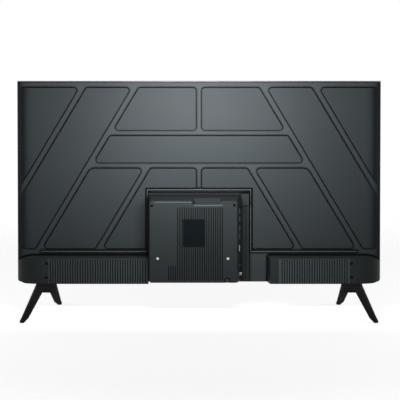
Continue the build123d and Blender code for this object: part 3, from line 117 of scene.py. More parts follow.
# Finishes of the record, by slot
FINISHES: tuple[Finish, ...] = (
    Finish("bezel_plastic", (0.050, 0.054, 0.058), 0.36, grain_mm=0.5, bump_mm=0.0, shine=0.9),
    Finish("sheet_paint", (0.061, 0.072, 0.077), 0.44, Surface.PRESSED, grain_mm=0.9,
           bump_mm=0.010, rough_spread=0.05, tone_spread=0.06, shine=0.08),
    # The second colour of the housings is painted shade on the floors of their grooves
    Finish("housing_plastic", (0.040, 0.048, 0.051), 0.50, Surface.GROOVED,
           second=(0.006, 0.008, 0.009), grain_mm=0.45, bump_mm=0.022, shine=0.12),
    Finish("foot_plastic", (0.040, 0.040, 0.041), 0.60, grain_mm=0.5, bump_mm=0.014, shine=0.015),
    Finish("pad_rubber", (0.018, 0.018, 0.018), 0.86, Surface.GRIP, grain_mm=0.8, bump_mm=0.05),
    Finish("panel_glass", (0.006, 0.007, 0.009), 0.24, grain_mm=0.35, bump_mm=0.0015,
           tone_spread=0.03, shine=0.22),
    Finish("film_plastic", (0.84, 0.86, 0.88), 0.55, grain_mm=0.3, bump_mm=0.004,
           transmission=0.25),
    Finish("guide_acrylic", (0.90, 0.95, 0.95), 0.06, Surface.GRIP, grain_mm=1.6, bump_mm=0.01,
           transmission=0.85, ior=1.49),
    Finish("reflector_white", (0.90, 0.90, 0.90), 0.62, grain_mm=0.4, bump_mm=0.006),
    Finish("frame_plastic", (0.022, 0.022, 0.023), 0.55, grain_mm=0.4, bump_mm=0.012),
    Finish("bare_aluminium", (0.76, 0.77, 0.78), 0.34, Surface.BRUSHED, metal=1.0, grain_mm=0.5,
           bump_mm=0.006),
    Finish("zinc_steel", (0.64, 0.66, 0.66), 0.28, Surface.BRUSHED, metal=1.0, bump_mm=0.006),
    Finish("black_steel", (0.006, 0.006, 0.007), 0.36, metal=0.4, grain_mm=0.4, bump_mm=0.008,
           shine=0.12),
    Finish("board_green", (0.016, 0.120, 0.058), 0.34, Surface.BOARD,
           second=(0.045, 0.230, 0.115), coat=0.4, grain_mm=1.4, bump_mm=0.012),
    Finish("board_white", (0.84, 0.84, 0.82), 0.42, Surface.BOARD, second=(0.70, 0.71, 0.70),
           coat=0.2, grain_mm=1.8, bump_mm=0.008),
    Finish("part_black", (0.018, 0.018, 0.020), 0.44, grain_mm=0.35, bump_mm=0.012),
    Finish("tinned_shell", (0.42, 0.42, 0.41), 0.32, Surface.BRUSHED, metal=1.0, grain_mm=0.4,
           bump_mm=0.004),
    Finish("nickel_barrel", (0.20, 0.185, 0.155), 0.34, Surface.BRUSHED, metal=1.0,
           grain_mm=0.35, bump_mm=0.004),
    Finish("plate_dark", (0.004, 0.008, 0.010), 0.30, grain_mm=0.7, bump_mm=0.004, shine=0.07),
    Finish("ferrite_grey", (0.070, 0.070, 0.076), 0.60, grain_mm=0.7, bump_mm=0.03),
    Finish("cable_white", (0.80, 0.80, 0.79), 0.38, Surface.GRIP),
    Finish("lens_red", (0.070, 0.006, 0.012), 0.12, grain_mm=0.5, bump_mm=0.002,
           transmission=0.3),
)

# Finishes of pieces that are made here alone
EXTRA_FINISHES: tuple[Finish, ...] = (
    Finish("gold_contact", (0.86, 0.62, 0.26), 0.22, Surface.BRUSHED, metal=1.0, grain_mm=0.3,
           bump_mm=0.002),
    Finish("ceramic_tan", (0.36, 0.27, 0.19), 0.46, grain_mm=0.25, bump_mm=0.006),
    Finish("sleeve_blue", (0.020, 0.040, 0.110), 0.34, bump_mm=0.004),
    Finish("cone_paper", (0.030, 0.030, 0.032), 0.74, grain_mm=0.5, bump_mm=0.03),
    Finish("lamp_phosphor", (0.90, 0.74, 0.18), 0.50, grain_mm=0.4, bump_mm=0.01),
)


@dataclass(frozen=True)
class RibbedField:
    """A field of grooves in a rear face, in metres, and how much a painted highlight lightens its
    crests.
    """

    face: float
    xs: Pair
    zs: Pair
    lift: float


# Grooves of the two lower housings and the tower with a painted highlight on their crests, then two
# strips of painted highlight along the rims of its top pocket
RIBBED_FIELDS: tuple[RibbedField, ...] = (
    RibbedField(rear(31.0), (0.135, 0.398), (0.0828, 0.1492), 1.05),
    RibbedField(rear(31.0), (-0.398, -0.211), (0.0828, 0.1492), 1.70),
    RibbedField(rear(62.0), (-0.067, 0.086), (0.0985, 0.2975), 0.0),
    RibbedField(rear(62.0), (0.020, 0.118), (0.3100, 0.3140), 1.8),
    RibbedField(rear(62.0), (-0.062, 0.014), (0.3010, 0.3045), 1.8),
)
GROOVE_DEPTH = 1.2 * MM
GROOVE_FLOOR = 0.65 * GROOVE_DEPTH
GROOVE_FLOOR_SPREAD = 0.45 * GROOVE_DEPTH
FACE_SPREAD = 1.5 * GROOVE_DEPTH

# Painted shade on walls, side curves and housing ends and painted highlight in channels and on
# crests: limits of a slope, lean or depth where the tone changes, and the share at the end
WALL_SLOPES, WALL_SHADE = (0.32, 0.46), 0.95
CURVE_LEANS, CURVE_SHADE = (0.0, 0.22), 0.80
END_LEANS, END_SHADE = (0.0, 0.45), 0.62
CHANNEL_RANGE, CHANNEL_HIGHLIGHT = (rear(-2.2), rear(-1.2)), 0.22
CREST_RANGE, CREST_HIGHLIGHT = (rear(0.3), rear(1.1)), 1.3

# Painted shade in the creases: its reach in metres, and how dark it gets
SHEET_CREASE_SHADE = (6.5 * MM, 12.0)
HOUSING_CREASE_SHADE = (8.0 * MM, 2.2)
CREASE_SAMPLES = 12

# Noise patterns as a scale and a number of octaves, and the other patterns
TONE_PATCHES, GLOSS_PATCHES = (7.0, 3.0), (19.0, 4.0)
HOUSING_TONE, HOUSING_GLOSS = (9.0, 3.0), (25.0, 3.0)
BOARD_PATCHES, GRIP_PATCHES = (30.0, 2.0), (40.0, 2.0)
GRAIN_OCTAVES, BRUSH_OCTAVES = 2.0, 3.0
BRUSH_STRETCH = (0.04, 1.0, 1.0)
TRACK_SCALE, TRACK_EDGE = 0.35, (0.30, 0.36)
RIDGE_SCALE = 0.5
BUMP_STRENGTH = 0.6


class TreeBuilder:
    """Small helper that fills one node tree."""

    def __init__(self, tree: bpy.types.NodeTree) -> None:
        """Keep the tree."""
        self.tree = tree

    def feed(self, target: Socket, value: object) -> None:
        """Connect an input to a socket, or set it to a value.

        Args:
            target: the input.
            value: an output's socket, or a value.
        """
        if isinstance(value, bpy.types.NodeSocket):
            self.tree.links.new(value, target)
        else:
            target.default_value = value

    def node(
        self, kind: str, feeds: dict[str | int, object] | None = None, **settings: object
    ) -> bpy.types.Node:
        """Add a node, set its properties and feed its inputs.

        Args:
            kind: type of the node.
            feeds: a socket or a value for an input's name or number.
            settings: properties to set on it.

        Returns:
            The node.
        """
        made = self.tree.nodes.new(kind)
        for key, value in settings.items():
            setattr(made, key, value)
        for key, value in (feeds or {}).items():
            self.feed(made.inputs[key], value)
        return made

    def math(self, operation: str, *values: object) -> Socket:
        """Add a calculation.

        Args:
            operation: the math node's operation.
            values: its sockets or numbers, in order.

        Returns:
            The result's socket.
        """
        return self.node("ShaderNodeMath", dict(enumerate(values)), operation=operation).outputs[0]

    def smooth_step(self, value: Socket, low: float, high: float) -> Socket:
        """Map a value onto 0 to 1 between two limits, with soft ends.

        Args:
            value: the value.
            low: where the result is 0.
            high: where the result is 1.

        Returns:
            The result's socket.
        """
        feeds = {"Value": value, "From Min": low, "From Max": high}
        made = self.node("ShaderNodeMapRange", feeds, interpolation_type="SMOOTHSTEP")
        return made.outputs["Result"]

    def split(self, vector: Socket) -> bpy.types.bpy_prop_collection:
        """Split a vector into the sockets of its X, Y and Z."""
        return self.node("ShaderNodeSeparateXYZ", {"Vector": vector}).outputs


class GroupBuilder(TreeBuilder):
    """Fills the shader node group of one surface, with the inputs that all of them share."""

    INPUTS = {
        "Scale": 1000.0,
        "Relief": 0.00001,
        "Roughness": 0.5,
        "Roughness Spread": 0.05,
        "Tone Spread": 0.1,
    }

    def __init__(self, name: str) -> None:
        """Start the group with its inputs and the object coordinates.

        Args:
            name: name of the group.
        """
        super().__init__(bpy.data.node_groups.new(name, "ShaderNodeTree"))
        for key, value in self.INPUTS.items():
            self.socket(key, "INPUT", "NodeSocketFloat").default_value = value
        entry = self.node("NodeGroupInput").outputs
        self.scale, self.relief, self.rough, self.rough_spread, self.tone_spread = (
            entry[key] for key in self.INPUTS
        )
        self.place = self.node("ShaderNodeTexCoord").outputs["Object"]

    def socket(self, name: str, side: str, kind: str) -> bpy.types.NodeTreeInterfaceSocket:
        """Add an input or an output of a kind to the group."""
        return self.tree.interface.new_socket(name, in_out=side, socket_type=kind)

    def noise(self, scale: object, octaves: float, where: Socket | None = None) -> Socket:
        """Add a noise texture.

        Args:
            scale: its scale, a socket or a number.
            octaves: its number of octaves.
            where: where it is looked up, if not at the object coordinates.

        Returns:
            The noise value's socket.
        """
        place = self.place if where is None else where
        feeds = {"Vector": place, "Scale": scale, "Detail": octaves}
        return self.node("ShaderNodeTexNoise", feeds).outputs[0]

    def around(self, value: Socket, middle: object, spread: Socket) -> Socket:
        """Map a value from 0 to 1 onto a range round a middle.

        Args:
            value: the value.
            middle: middle of the range, a socket or a number.
            spread: how far the range goes to each side.

        Returns:
            The mapped value's socket.
        """
        limits = {
            "To Min": self.math("SUBTRACT", middle, spread),
            "To Max": self.math("ADD", middle, spread),
        }
        return self.node("ShaderNodeMapRange", {"Value": value, **limits}).outputs["Result"]

    def tone(self, pattern: Socket) -> Socket:
        """Turn a pattern into a brightness round 1."""
        return self.around(pattern, 1.0, self.tone_spread)

    def product(self, first: object, *others: object) -> Socket:
        """Multiply sockets or numbers.

        Args:
            first: the first one.
            others: the other ones.

        Returns:
            The product's socket.
        """
        for other in others:
            first = self.math("MULTIPLY", first, other)
        return first

    def less(self, share: Socket) -> Socket:
        """Take a share from 1."""
        return self.math("SUBTRACT", 1.0, share)

    def normal(self) -> bpy.types.bpy_prop_collection:
        """Give the sockets of X, Y and Z of the surface's normal."""
        return self.split(self.node("ShaderNodeNewGeometry").outputs["Normal"])

    def crease_shade(self, reach: float, power: float) -> Socket:
        """Darken the creases by ambient occlusion, a painted shade where less light falls.

        Args:
            reach: how far from a wall a crease counts, in metres.
            power: how dark the creases are.

        Returns:
            A socket that is 1 in the open and less in a crease.
        """
        feeds = {"Distance": reach}
        made = self.node("ShaderNodeAmbientOcclusion", feeds, samples=CREASE_SAMPLES)
        return self.math("POWER", made.outputs["AO"], power)

    def finish(
        self, tone: Socket, gloss: Socket, height: Socket, mask: Socket | None = None
    ) -> bpy.types.NodeTree:
        """Give the group its outputs.

        Args:
            tone: brightness of the colour, about 1.
            gloss: pattern of the roughness, 0 to 1.
            height: pattern of the relief, 0 to 1.
            mask: where the second colour goes, 0 to 1, if there is one.

        Returns:
            The finished group.
        """
        relief = {"Strength": BUMP_STRENGTH, "Height": height, "Distance": self.relief}
        results = {
            "Tone": tone,
            "Roughness": self.around(gloss, self.rough, self.rough_spread),
            "Normal": self.node("ShaderNodeBump", relief).outputs["Normal"],
        }
        if mask is not None:
            results["Mask"] = mask
        for name in results:
            self.socket(name, "OUTPUT", f"NodeSocket{'Vector' if name == 'Normal' else 'Float'}")
        self.node("NodeGroupOutput", results)
        return self.tree


def grain_group() -> bpy.types.NodeTree:
    """Make the fine moulded or sprayed grain, with broad faint wear in tone and gloss.

    Returns:
        The node group.
    """
    group = GroupBuilder("surface_grain")
    tone, gloss = group.tone(group.noise(*TONE_PATCHES)), group.noise(*GLOSS_PATCHES)
    return group.finish(tone, gloss, group.noise(group.scale, GRAIN_OCTAVES))


def pressed_group() -> bpy.types.NodeTree:
    """Make the sheet's painted steel, with painted shade on walls, side curves and in creases and
    painted highlight on crests and channel floors.

    Returns:
        The node group.
    """
    group = GroupBuilder("surface_pressed")
    normal, place = group.normal(), group.split(group.place)
    slope = group.less(group.math("ABSOLUTE", normal["Y"]))
    # Painted shade on the steep walls of the embossing
    wall = group.product(group.smooth_step(slope, *WALL_SLOPES), WALL_SHADE)
    lean = group.math("ABSOLUTE", normal["X"])
    # Painted shade on the sheet's sides, which curve away from the light
    curve = group.product(group.smooth_step(lean, *CURVE_LEANS), CURVE_SHADE)
    # Painted highlight on the crests that stand above the raised face
    crest = group.product(group.smooth_step(place["Y"], *CREST_RANGE), CREST_HIGHLIGHT)
    # Painted highlight on the floors of the sunk channels
    sunk = group.less(group.smooth_step(place["Y"], *CHANNEL_RANGE))
    channel = group.product(sunk, CHANNEL_HIGHLIGHT)
    lift = group.math("ADD", 1.0, group.math("ADD", crest, channel))
    clear = group.product(lift, group.less(group.math("MAXIMUM", wall, curve)))
    tone = group.tone(group.noise(*TONE_PATCHES))
    # Painted shade in the creases
    shaded = group.product(tone, clear, group.crease_shade(*SHEET_CREASE_SHADE))
    grain = group.noise(group.scale, GRAIN_OCTAVES)
    return group.finish(shaded, group.noise(*GLOSS_PATCHES), grain)


def grooved_group() -> bpy.types.NodeTree:
    """Make the grain of the housings, with a mask for the painted shade on the floors of their
    grooves, a painted highlight on their crests and rims, and painted shade on their ends and in
    creases.

    Returns:
        The node group.
    """
    group = GroupBuilder("surface_grooved")
    place = group.split(group.place)
    mask, painted_highlight = 0.0, 0.0
    # In each field the second colour on the groove floors is painted shade, and the crests take a
    # painted highlight
    for ribs in RIBBED_FIELDS:
        inside = [
            group.math("COMPARE", place[axis], (low + high) / 2, (high - low) / 2)
            for axis, (low, high) in (("X", ribs.xs), ("Z", ribs.zs))
        ]
        field = group.product(*inside)
        floor_y = ribs.face - GROOVE_FLOOR
        floor = group.math("COMPARE", place["Y"], floor_y, GROOVE_FLOOR_SPREAD)
        mask = group.math("MAXIMUM", mask, group.product(field, floor))
        near = group.math("COMPARE", place["Y"], ribs.face, FACE_SPREAD)
        painted_highlight = group.math("MAXIMUM", painted_highlight, group.product(field, near, ribs.lift))
    # Painted shade on the housings' ends and sideways faces, which lean away from the light
    lean = group.math("ABSOLUTE", group.normal()["X"])
    end = group.product(group.smooth_step(lean, *END_LEANS), END_SHADE)
    highlighted = group.product(group.tone(group.noise(*HOUSING_TONE)), group.math("ADD", painted_highlight, 1.0))
    # Apply the painted highlight, the painted shade on the ends and the painted shade in the
    # creases
    shaded = group.product(highlighted, group.less(end), group.crease_shade(*HOUSING_CREASE_SHADE))
    grain = group.noise(group.scale, GRAIN_OCTAVES)
    return group.finish(shaded, group.noise(*HOUSING_GLOSS), grain, mask)


def brushed_group() -> bpy.types.NodeTree:
    """Make fine drawn lines along X on bare metal.

    Returns:
        The node group.
    """
    group = GroupBuilder("surface_brushed")
    stretch = group.node("ShaderNodeMapping", {"Scale": BRUSH_STRETCH, "Vector": group.place})
    lines = group.noise(group.scale, BRUSH_OCTAVES, stretch.outputs["Vector"])
    return group.finish(group.tone(lines), lines, lines)


def board_group() -> bpy.types.NodeTree:
    """Make the raised tracks of a circuit board as a mask of cells drawn along X and Z.

    Returns:
        The node group.
    """
    group = GroupBuilder("surface_board")
    feeds = {"Vector": group.place, "Scale": group.product(group.scale, TRACK_SCALE)}
    cells = group.node("ShaderNodeTexVoronoi", feeds, feature="F1", distance="CHEBYCHEV")
    mask = group.smooth_step(cells.outputs["Distance"], *TRACK_EDGE)
    return group.finish(group.tone(group.noise(*BOARD_PATCHES)), mask, mask, mask)


def grip_group() -> bpy.types.NodeTree:
    """Make fine parallel ridges across X.

    Returns:
        The node group.
    """
    group = GroupBuilder("surface_grip")
    ridge_scale = group.product(group.scale, RIDGE_SCALE)
    feeds = {"Vector": group.place, "Scale": ridge_scale, "Distortion": 0.0}
    ridges = group.node("ShaderNodeTexWave", feeds, bands_direction="X")
    broad = group.noise(*GRIP_PATCHES)
    return group.finish(group.tone(broad), broad, ridges.outputs["Fac"])


GROUP_MAKERS = {
    Surface.GRAIN: grain_group,
    Surface.PRESSED: pressed_group,
    Surface.GROOVED: grooved_group,
    Surface.BRUSHED: brushed_group,
    Surface.BOARD: board_group,
    Surface.GRIP: grip_group,
}


class Paintbox:
    """Makes each material once and hands it out by the name of its finish."""

    def __init__(self, finishes: Iterable[Finish]) -> None:
        """Make the groups and the materials.

        Args:
            finishes: every finish in use.
        """
        self.groups: dict[Surface, bpy.types.NodeTree] = {}
        self.materials = {finish.slot: self.make(finish) for finish in finishes}
        log.info("%d materials made", len(self.materials))

    def group(self, surface: Surface) -> bpy.types.NodeTree:
        """Give the node group of a surface, made on first use.

        Args:
            surface: the surface.

        Returns:
            Its group.
        """
        if surface not in self.groups:
            self.groups[surface] = GROUP_MAKERS[surface]()
        return self.groups[surface]

    def make(self, finish: Finish) -> bpy.types.Material:
        """Build the material of one finish.

        Args:
            finish: the finish.

        Returns:
            The material.
        """
        material = bpy.data.materials.new(finish.slot)
        material.use_nodes = True
        tree = TreeBuilder(material.node_tree)
        values = {
            "Scale": 1.0 / (finish.grain_mm * MM),
            "Relief": finish.bump_mm * MM,
            "Roughness": finish.rough,
            "Roughness Spread": finish.rough_spread,
            "Tone Spread": finish.tone_spread,
        }
        made = tree.node("ShaderNodeGroup", values, node_tree=self.group(finish.surface))
        # The colours of a mix node are its inputs 6 and 7 and its output 2
        share = made.outputs["Mask"] if "Mask" in made.outputs else 0.0
        colours = [(*colour, 1.0) for colour in (finish.colour, finish.second or finish.colour)]
        mixed = {0: share, 6: colours[0], 7: colours[1]}
        mix = tree.node("ShaderNodeMix", mixed, data_type="RGBA")
        scaled = {0: mix.outputs[2], "Scale": made.outputs["Tone"]}
        toned = tree.node("ShaderNodeVectorMath", scaled, operation="SCALE")
        shader = {
            "Base Color": toned.outputs[0],
            "Roughness": made.outputs["Roughness"],
            "Normal": made.outputs["Normal"],
            "Metallic": finish.metal,
            "IOR": finish.ior,
            "Specular IOR Level": finish.shine,
            "Coat Weight": finish.coat,
            "Coat Roughness": finish.coat_rough,
            "Transmission Weight": finish.transmission,
        }
        for name, value in shader.items():
            tree.feed(tree.tree.nodes["Principled BSDF"].inputs[name], value)
        material.diffuse_color = colours[0]
        return material

    def __getitem__(self, slot: str) -> bpy.types.Material:
        """Give the material of a finish."""
        return self.materials[slot]


class ArrayTree(TreeBuilder):
    """Geometry Nodes tree that lays out a grid of blocks in the XZ plane, each a bit different."""

    INPUTS: tuple[tuple[str, str, object], ...] = (
        ("Count X", "NodeSocketInt", 4),
        ("Count Z", "NodeSocketInt", 1),
        ("Span X", "NodeSocketFloat", 0.01),
        ("Span Z", "NodeSocketFloat", 0.0),
        ("Centre", "NodeSocketVector", (0.0, 0.0, 0.0)),
        ("Size", "NodeSocketVector", (0.001, 0.001, 0.001)),
        ("Jitter", "NodeSocketFloat", 0.0),
        ("Size Spread", "NodeSocketFloat", 0.0),
        ("Seed", "NodeSocketInt", 1),
        ("Material", "NodeSocketMaterial", None),
    )

    def __init__(self) -> None:
        """Build the tree with its named inputs."""
        super().__init__(bpy.data.node_groups.new("block_array", "GeometryNodeTree"))
        sockets = self.tree.interface
        self.identifiers: dict[str, str] = {}
        for name, kind, value in self.INPUTS:
            item = sockets.new_socket(name, in_out="INPUT", socket_type=kind)
            if value is not None:
                item.default_value = value
            self.identifiers[name] = item.identifier
        sockets.new_socket("Geometry", in_out="OUTPUT", socket_type="NodeSocketGeometry")
        self.fill()

    def fill(self) -> None:
        """Add and connect the nodes of the tree."""
        start = self.node("NodeGroupInput").outputs
        counts = {"Vertices X": start["Count X"], "Vertices Y": start["Count Z"]}
        spans = {"Size X": start["Span X"], "Size Y": start["Span Z"]}
        grid = self.node("GeometryNodeMeshGrid", {**spans, **counts}).outputs["Mesh"]
        upright = self.node("GeometryNodeTransform", {
            "Geometry": grid,
            "Translation": start["Centre"],
            "Rotation": (QUARTER_TURN, 0.0, 0.0),
        })
        least = self.math("MULTIPLY", start["Jitter"], -1.0)
        low, high = (
            self.node("ShaderNodeCombineXYZ", {"X": limit, "Z": limit}).outputs[0]
            for limit in (least, start["Jitter"])
        )
        limits = {0: low, 1: high, "Seed": start["Seed"]}
        shift = self.node("FunctionNodeRandomValue", limits, data_type="FLOAT_VECTOR").outputs[0]
        points = {"Geometry": upright.outputs["Geometry"], "Offset": shift}
        moved = self.node("GeometryNodeSetPosition", points)
        # The float sockets of a random value are its inputs 2 and 3 and its output 1
        smallest = self.math("SUBTRACT", 1.0, start["Size Spread"])
        limits = {2: smallest, 3: 1.0, "Seed": start["Seed"]}
        factor = self.node("FunctionNodeRandomValue", limits, data_type="FLOAT").outputs[1]
        sizes = {0: start["Size"], "Scale": factor}
        placed = self.node("GeometryNodeInstanceOnPoints", {
            "Points": moved.outputs["Geometry"],
            "Instance": self.node("GeometryNodeMeshCube").outputs["Mesh"],
            "Scale": self.node("ShaderNodeVectorMath", sizes, operation="SCALE").outputs[0],
        })
        blocks = {"Geometry": placed.outputs["Instances"]}
        real = self.node("GeometryNodeRealizeInstances", blocks).outputs["Geometry"]
        dressed = {"Geometry": real, "Material": start["Material"]}
        painted = self.node("GeometryNodeSetMaterial", dressed).outputs["Geometry"]
        self.node("NodeGroupOutput", {"Geometry": painted})

    def make(self, name: str, values: dict[str, object]) -> bpy.types.Object:
        """Run the tree and keep its result as a plain mesh.

        Args:
            name: name of the piece.
            values: values of the named inputs.

        Returns:
            The piece.
        """
        holder = bpy.data.objects.new(name + "_source", bpy.data.meshes.new(name + "_source"))
        bpy.context.scene.collection.objects.link(holder)
        modifier = holder.modifiers.new("array", "NODES")
        modifier.node_group = self.tree
        for key, value in values.items():
            modifier[self.identifiers[key]] = value
        bpy.context.view_layer.update()
        shown = holder.evaluated_get(bpy.context.evaluated_depsgraph_get())
        mesh = bpy.data.meshes.new_from_object(shown)
        mesh.name = name
        holder.modifiers.remove(modifier)
        bpy.data.objects.remove(holder)
        piece = bpy.data.objects.new(name, mesh)
        bpy.context.scene.collection.objects.link(piece)
        if not mesh.materials:
            mesh.materials.append(values["Material"])
        return piece


@dataclass
class Bench:
    """What every sub-assembly needs to build and dress its pieces."""

    nodes: dict[str, bpy.types.Object]
    paints: Paintbox
    arrays: ArrayTree
    slots: dict[str, str]

    def dress(self, name: str) -> bpy.types.Object:
        """Give a CAD node the finish that the record names.

        Args:
            name: name of the node.

        Returns:
            The node.
        """
        node, slot = self.nodes[name], self.slots[name]
        node.data.materials.clear()
        node.data.materials.append(self.paints[slot])
        log.info("%s takes %s", name, slot)
        return node

    def keep(self, piece: bpy.types.Object, body: str, slot: str) -> bpy.types.Object:
        """Let a new piece ride on a body.

        Args:
            piece: the new piece.
            body: the CAD body.
            slot: not used.

        Returns:
            The piece.
        """
        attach(piece, body)
        return piece

    def blocks(self, name: str, slot: str, paint: str, **values: object) -> bpy.types.Object:
        """Make an array of blocks on the set.

        Args:
            name: name of the piece.
            slot: slot of the record.
            paint: name of its finish.
            values: inputs of the tree, with underscores for spaces.

        Returns:
            The piece.
        """
        inputs = {key.replace("_", " "): value for key, value in values.items()}
        inputs["Material"] = self.paints[paint]
        return self.keep(self.arrays.make(name, inputs), SET_BODY, slot)


def middle(node: str) -> Vector:
    """Give the middle of a CAD node's box.

    Args:
        node: its name.

    Returns:
        The point, in metres.
    """
    low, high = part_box(node)
    return (low + high) / 2


def mesh_piece(
    name: str, points: Sequence[Sequence[float]], faces: Sequence[Sequence[int]],
    material: bpy.types.Material,
) -> bpy.types.Object:
    """Make a piece from points and faces, its place in its mesh.

    Args:
        name: name of the piece.
        points: corners in metres.
        faces: corners of each face, by number.
        material: its finish.

    Returns:
        The piece.
    """
    mesh = bpy.data.meshes.new(name)
    mesh.from_pydata([tuple(p) for p in points], [], [tuple(f) for f in faces])
    mesh.materials.append(material)
    mesh.validate()
    piece = bpy.data.objects.new(name, mesh)
    bpy.context.scene.collection.objects.link(piece)
    return piece


def box_piece(
    name: str, low: Vector, high: Vector, material: bpy.types.Material
) -> bpy.types.Object:
    """Make a box.

    Args:
        name: name of the piece.
        low: lowest corner.
        high: highest corner.
        material: its finish.

    Returns:
        The piece.
    """
    xs, ys, zs = (low.x, high.x), (low.y, high.y), (low.z, high.z)
    points = [(x, y, z) for x in xs for y in ys for z in zs]
    faces = [(0, 1, 3, 2), (4, 6, 7, 5), (0, 4, 5, 1), (2, 3, 7, 6), (0, 2, 6, 4), (1, 5, 7, 3)]
    return mesh_piece(name, points, faces, material)


def ring_piece(
    name: str, centre: Vector, along: Vector, profile: Sequence[Pair],
    material: bpy.types.Material, stretch: float = 1.0, sides: int = 40,
) -> bpy.types.Object:
    """Turn a profile round an axis, closed at both ends.

    Args:
        name: name of the piece.
        centre: a point on the axis.
        along: direction of the axis.
        profile: pairs of a distance along the axis and a radius, in metres.
        material: its finish.
        stretch: how much longer than wide the rings are, along X or Y.
        sides: faces in each ring.

    Returns:
        The piece.
    """
    axis = along.normalized()
    upright = abs(axis.z) >= 0.5
    across = Vector((1.0, 0.0, 0.0)) if upright else axis.orthogonal().normalized()
    other = axis.cross(across)
    points: list[Vector] = []
    for distance, radius in profile:
        for step in range(sides):
            turn = 2.0 * math.pi * step / sides
            spoke = across * (math.cos(turn) * radius * stretch) + other * (math.sin(turn) * radius)
            points.append(centre + axis * distance + spoke)
    faces: list[Sequence[int]] = []
    for ring in range(0, (len(profile) - 1) * sides, sides):
        for step in range(sides):
            after = (step + 1) % sides
            faces.append([ring + step, ring + after, ring + sides + after, ring + sides + step])
    faces.append(list(reversed(range(sides))))
    faces.append(list(range((len(profile) - 1) * sides, len(profile) * sides)))
    return mesh_piece(name, points, faces, material)


@dataclass
class Assembly:
    """A sub-assembly: the CAD nodes that it dresses and the new pieces that it may build."""

    PARTS = ()

    bench: Bench

    def dress(self) -> None:
        """Give every CAD node its finish."""
        for name in self.PARTS:
            self.bench.dress(name)

    def build(self) -> list[bpy.types.Object]:
        """Build nothing, where a sub-assembly has no new piece."""
        return []


class RearShell(Assembly):
    """The embossed back sheet, the ribbed lower housings and what joins them."""

    PARTS = (
        "back_sheet", "lower_housing_left", "lower_housing_right", "board_standoffs",
        "cover_posts", "foot_bracket_left", "foot_bracket_right",
    )


class Feet(Assembly):
    """Two splayed feet on rubber pads."""

    PARTS = ("foot_left", "foot_right", "foot_pads", "foot_screws")


class Tower(Assembly):
    """The electronics cover with its plate, its screws and the power key."""

    PARTS = (
        "electronics_cover", "rating_plate", "cover_screws", "top_cover_screws", "control_key",
        "key_board", "key_board_screws",
    )


@dataclass
class Screen(Assembly):
    """The screen: bezel, glass, films, light guide, frame and lamps, its sizes in metres."""

    PARTS = (
        "front_bezel", "sensor_lens", "sensor_board", "display_panel", "prism_film",
        "diffuser_film", "light_guide_plate", "reflector_sheet", "middle_frame", "light_bar",
        "lamp_strip",
    )

    lamp_pitch: float = 29.0 * MM
    lamp_width: float = 4.6 * MM
    lamp_gauge: float = 0.05 * MM
    lamp_depth: float = 1.3 * MM

    def build(self) -> list[bpy.types.Object]:
        """Add the glowing faces of the lamps.

        Returns:
            The new pieces.
        """
        low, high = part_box("lamp_strip")
        count = int((high.x - low.x) / self.lamp_pitch)
        centre = middle("lamp_strip")
        faces = self.bench.blocks(
            "lamp_faces", "board_white", "lamp_phosphor", Count_X=count, Count_Z=1,
            Span_X=(count - 1) * self.lamp_pitch, Span_Z=0.0,
            Centre=(centre.x, centre.y, high.z - self.lamp_gauge / 2),
            Size=(self.lamp_width, self.lamp_depth, self.lamp_gauge), Seed=3,
        )
        return [faces]


@dataclass(frozen=True)
class Tongue:
    """The contact tongue of a socket and the row of pads on its sides, in metres."""

    width: float
    gauge: float
    count: int
    pitch: float
    pad: Triple
    sides: tuple[int, ...]


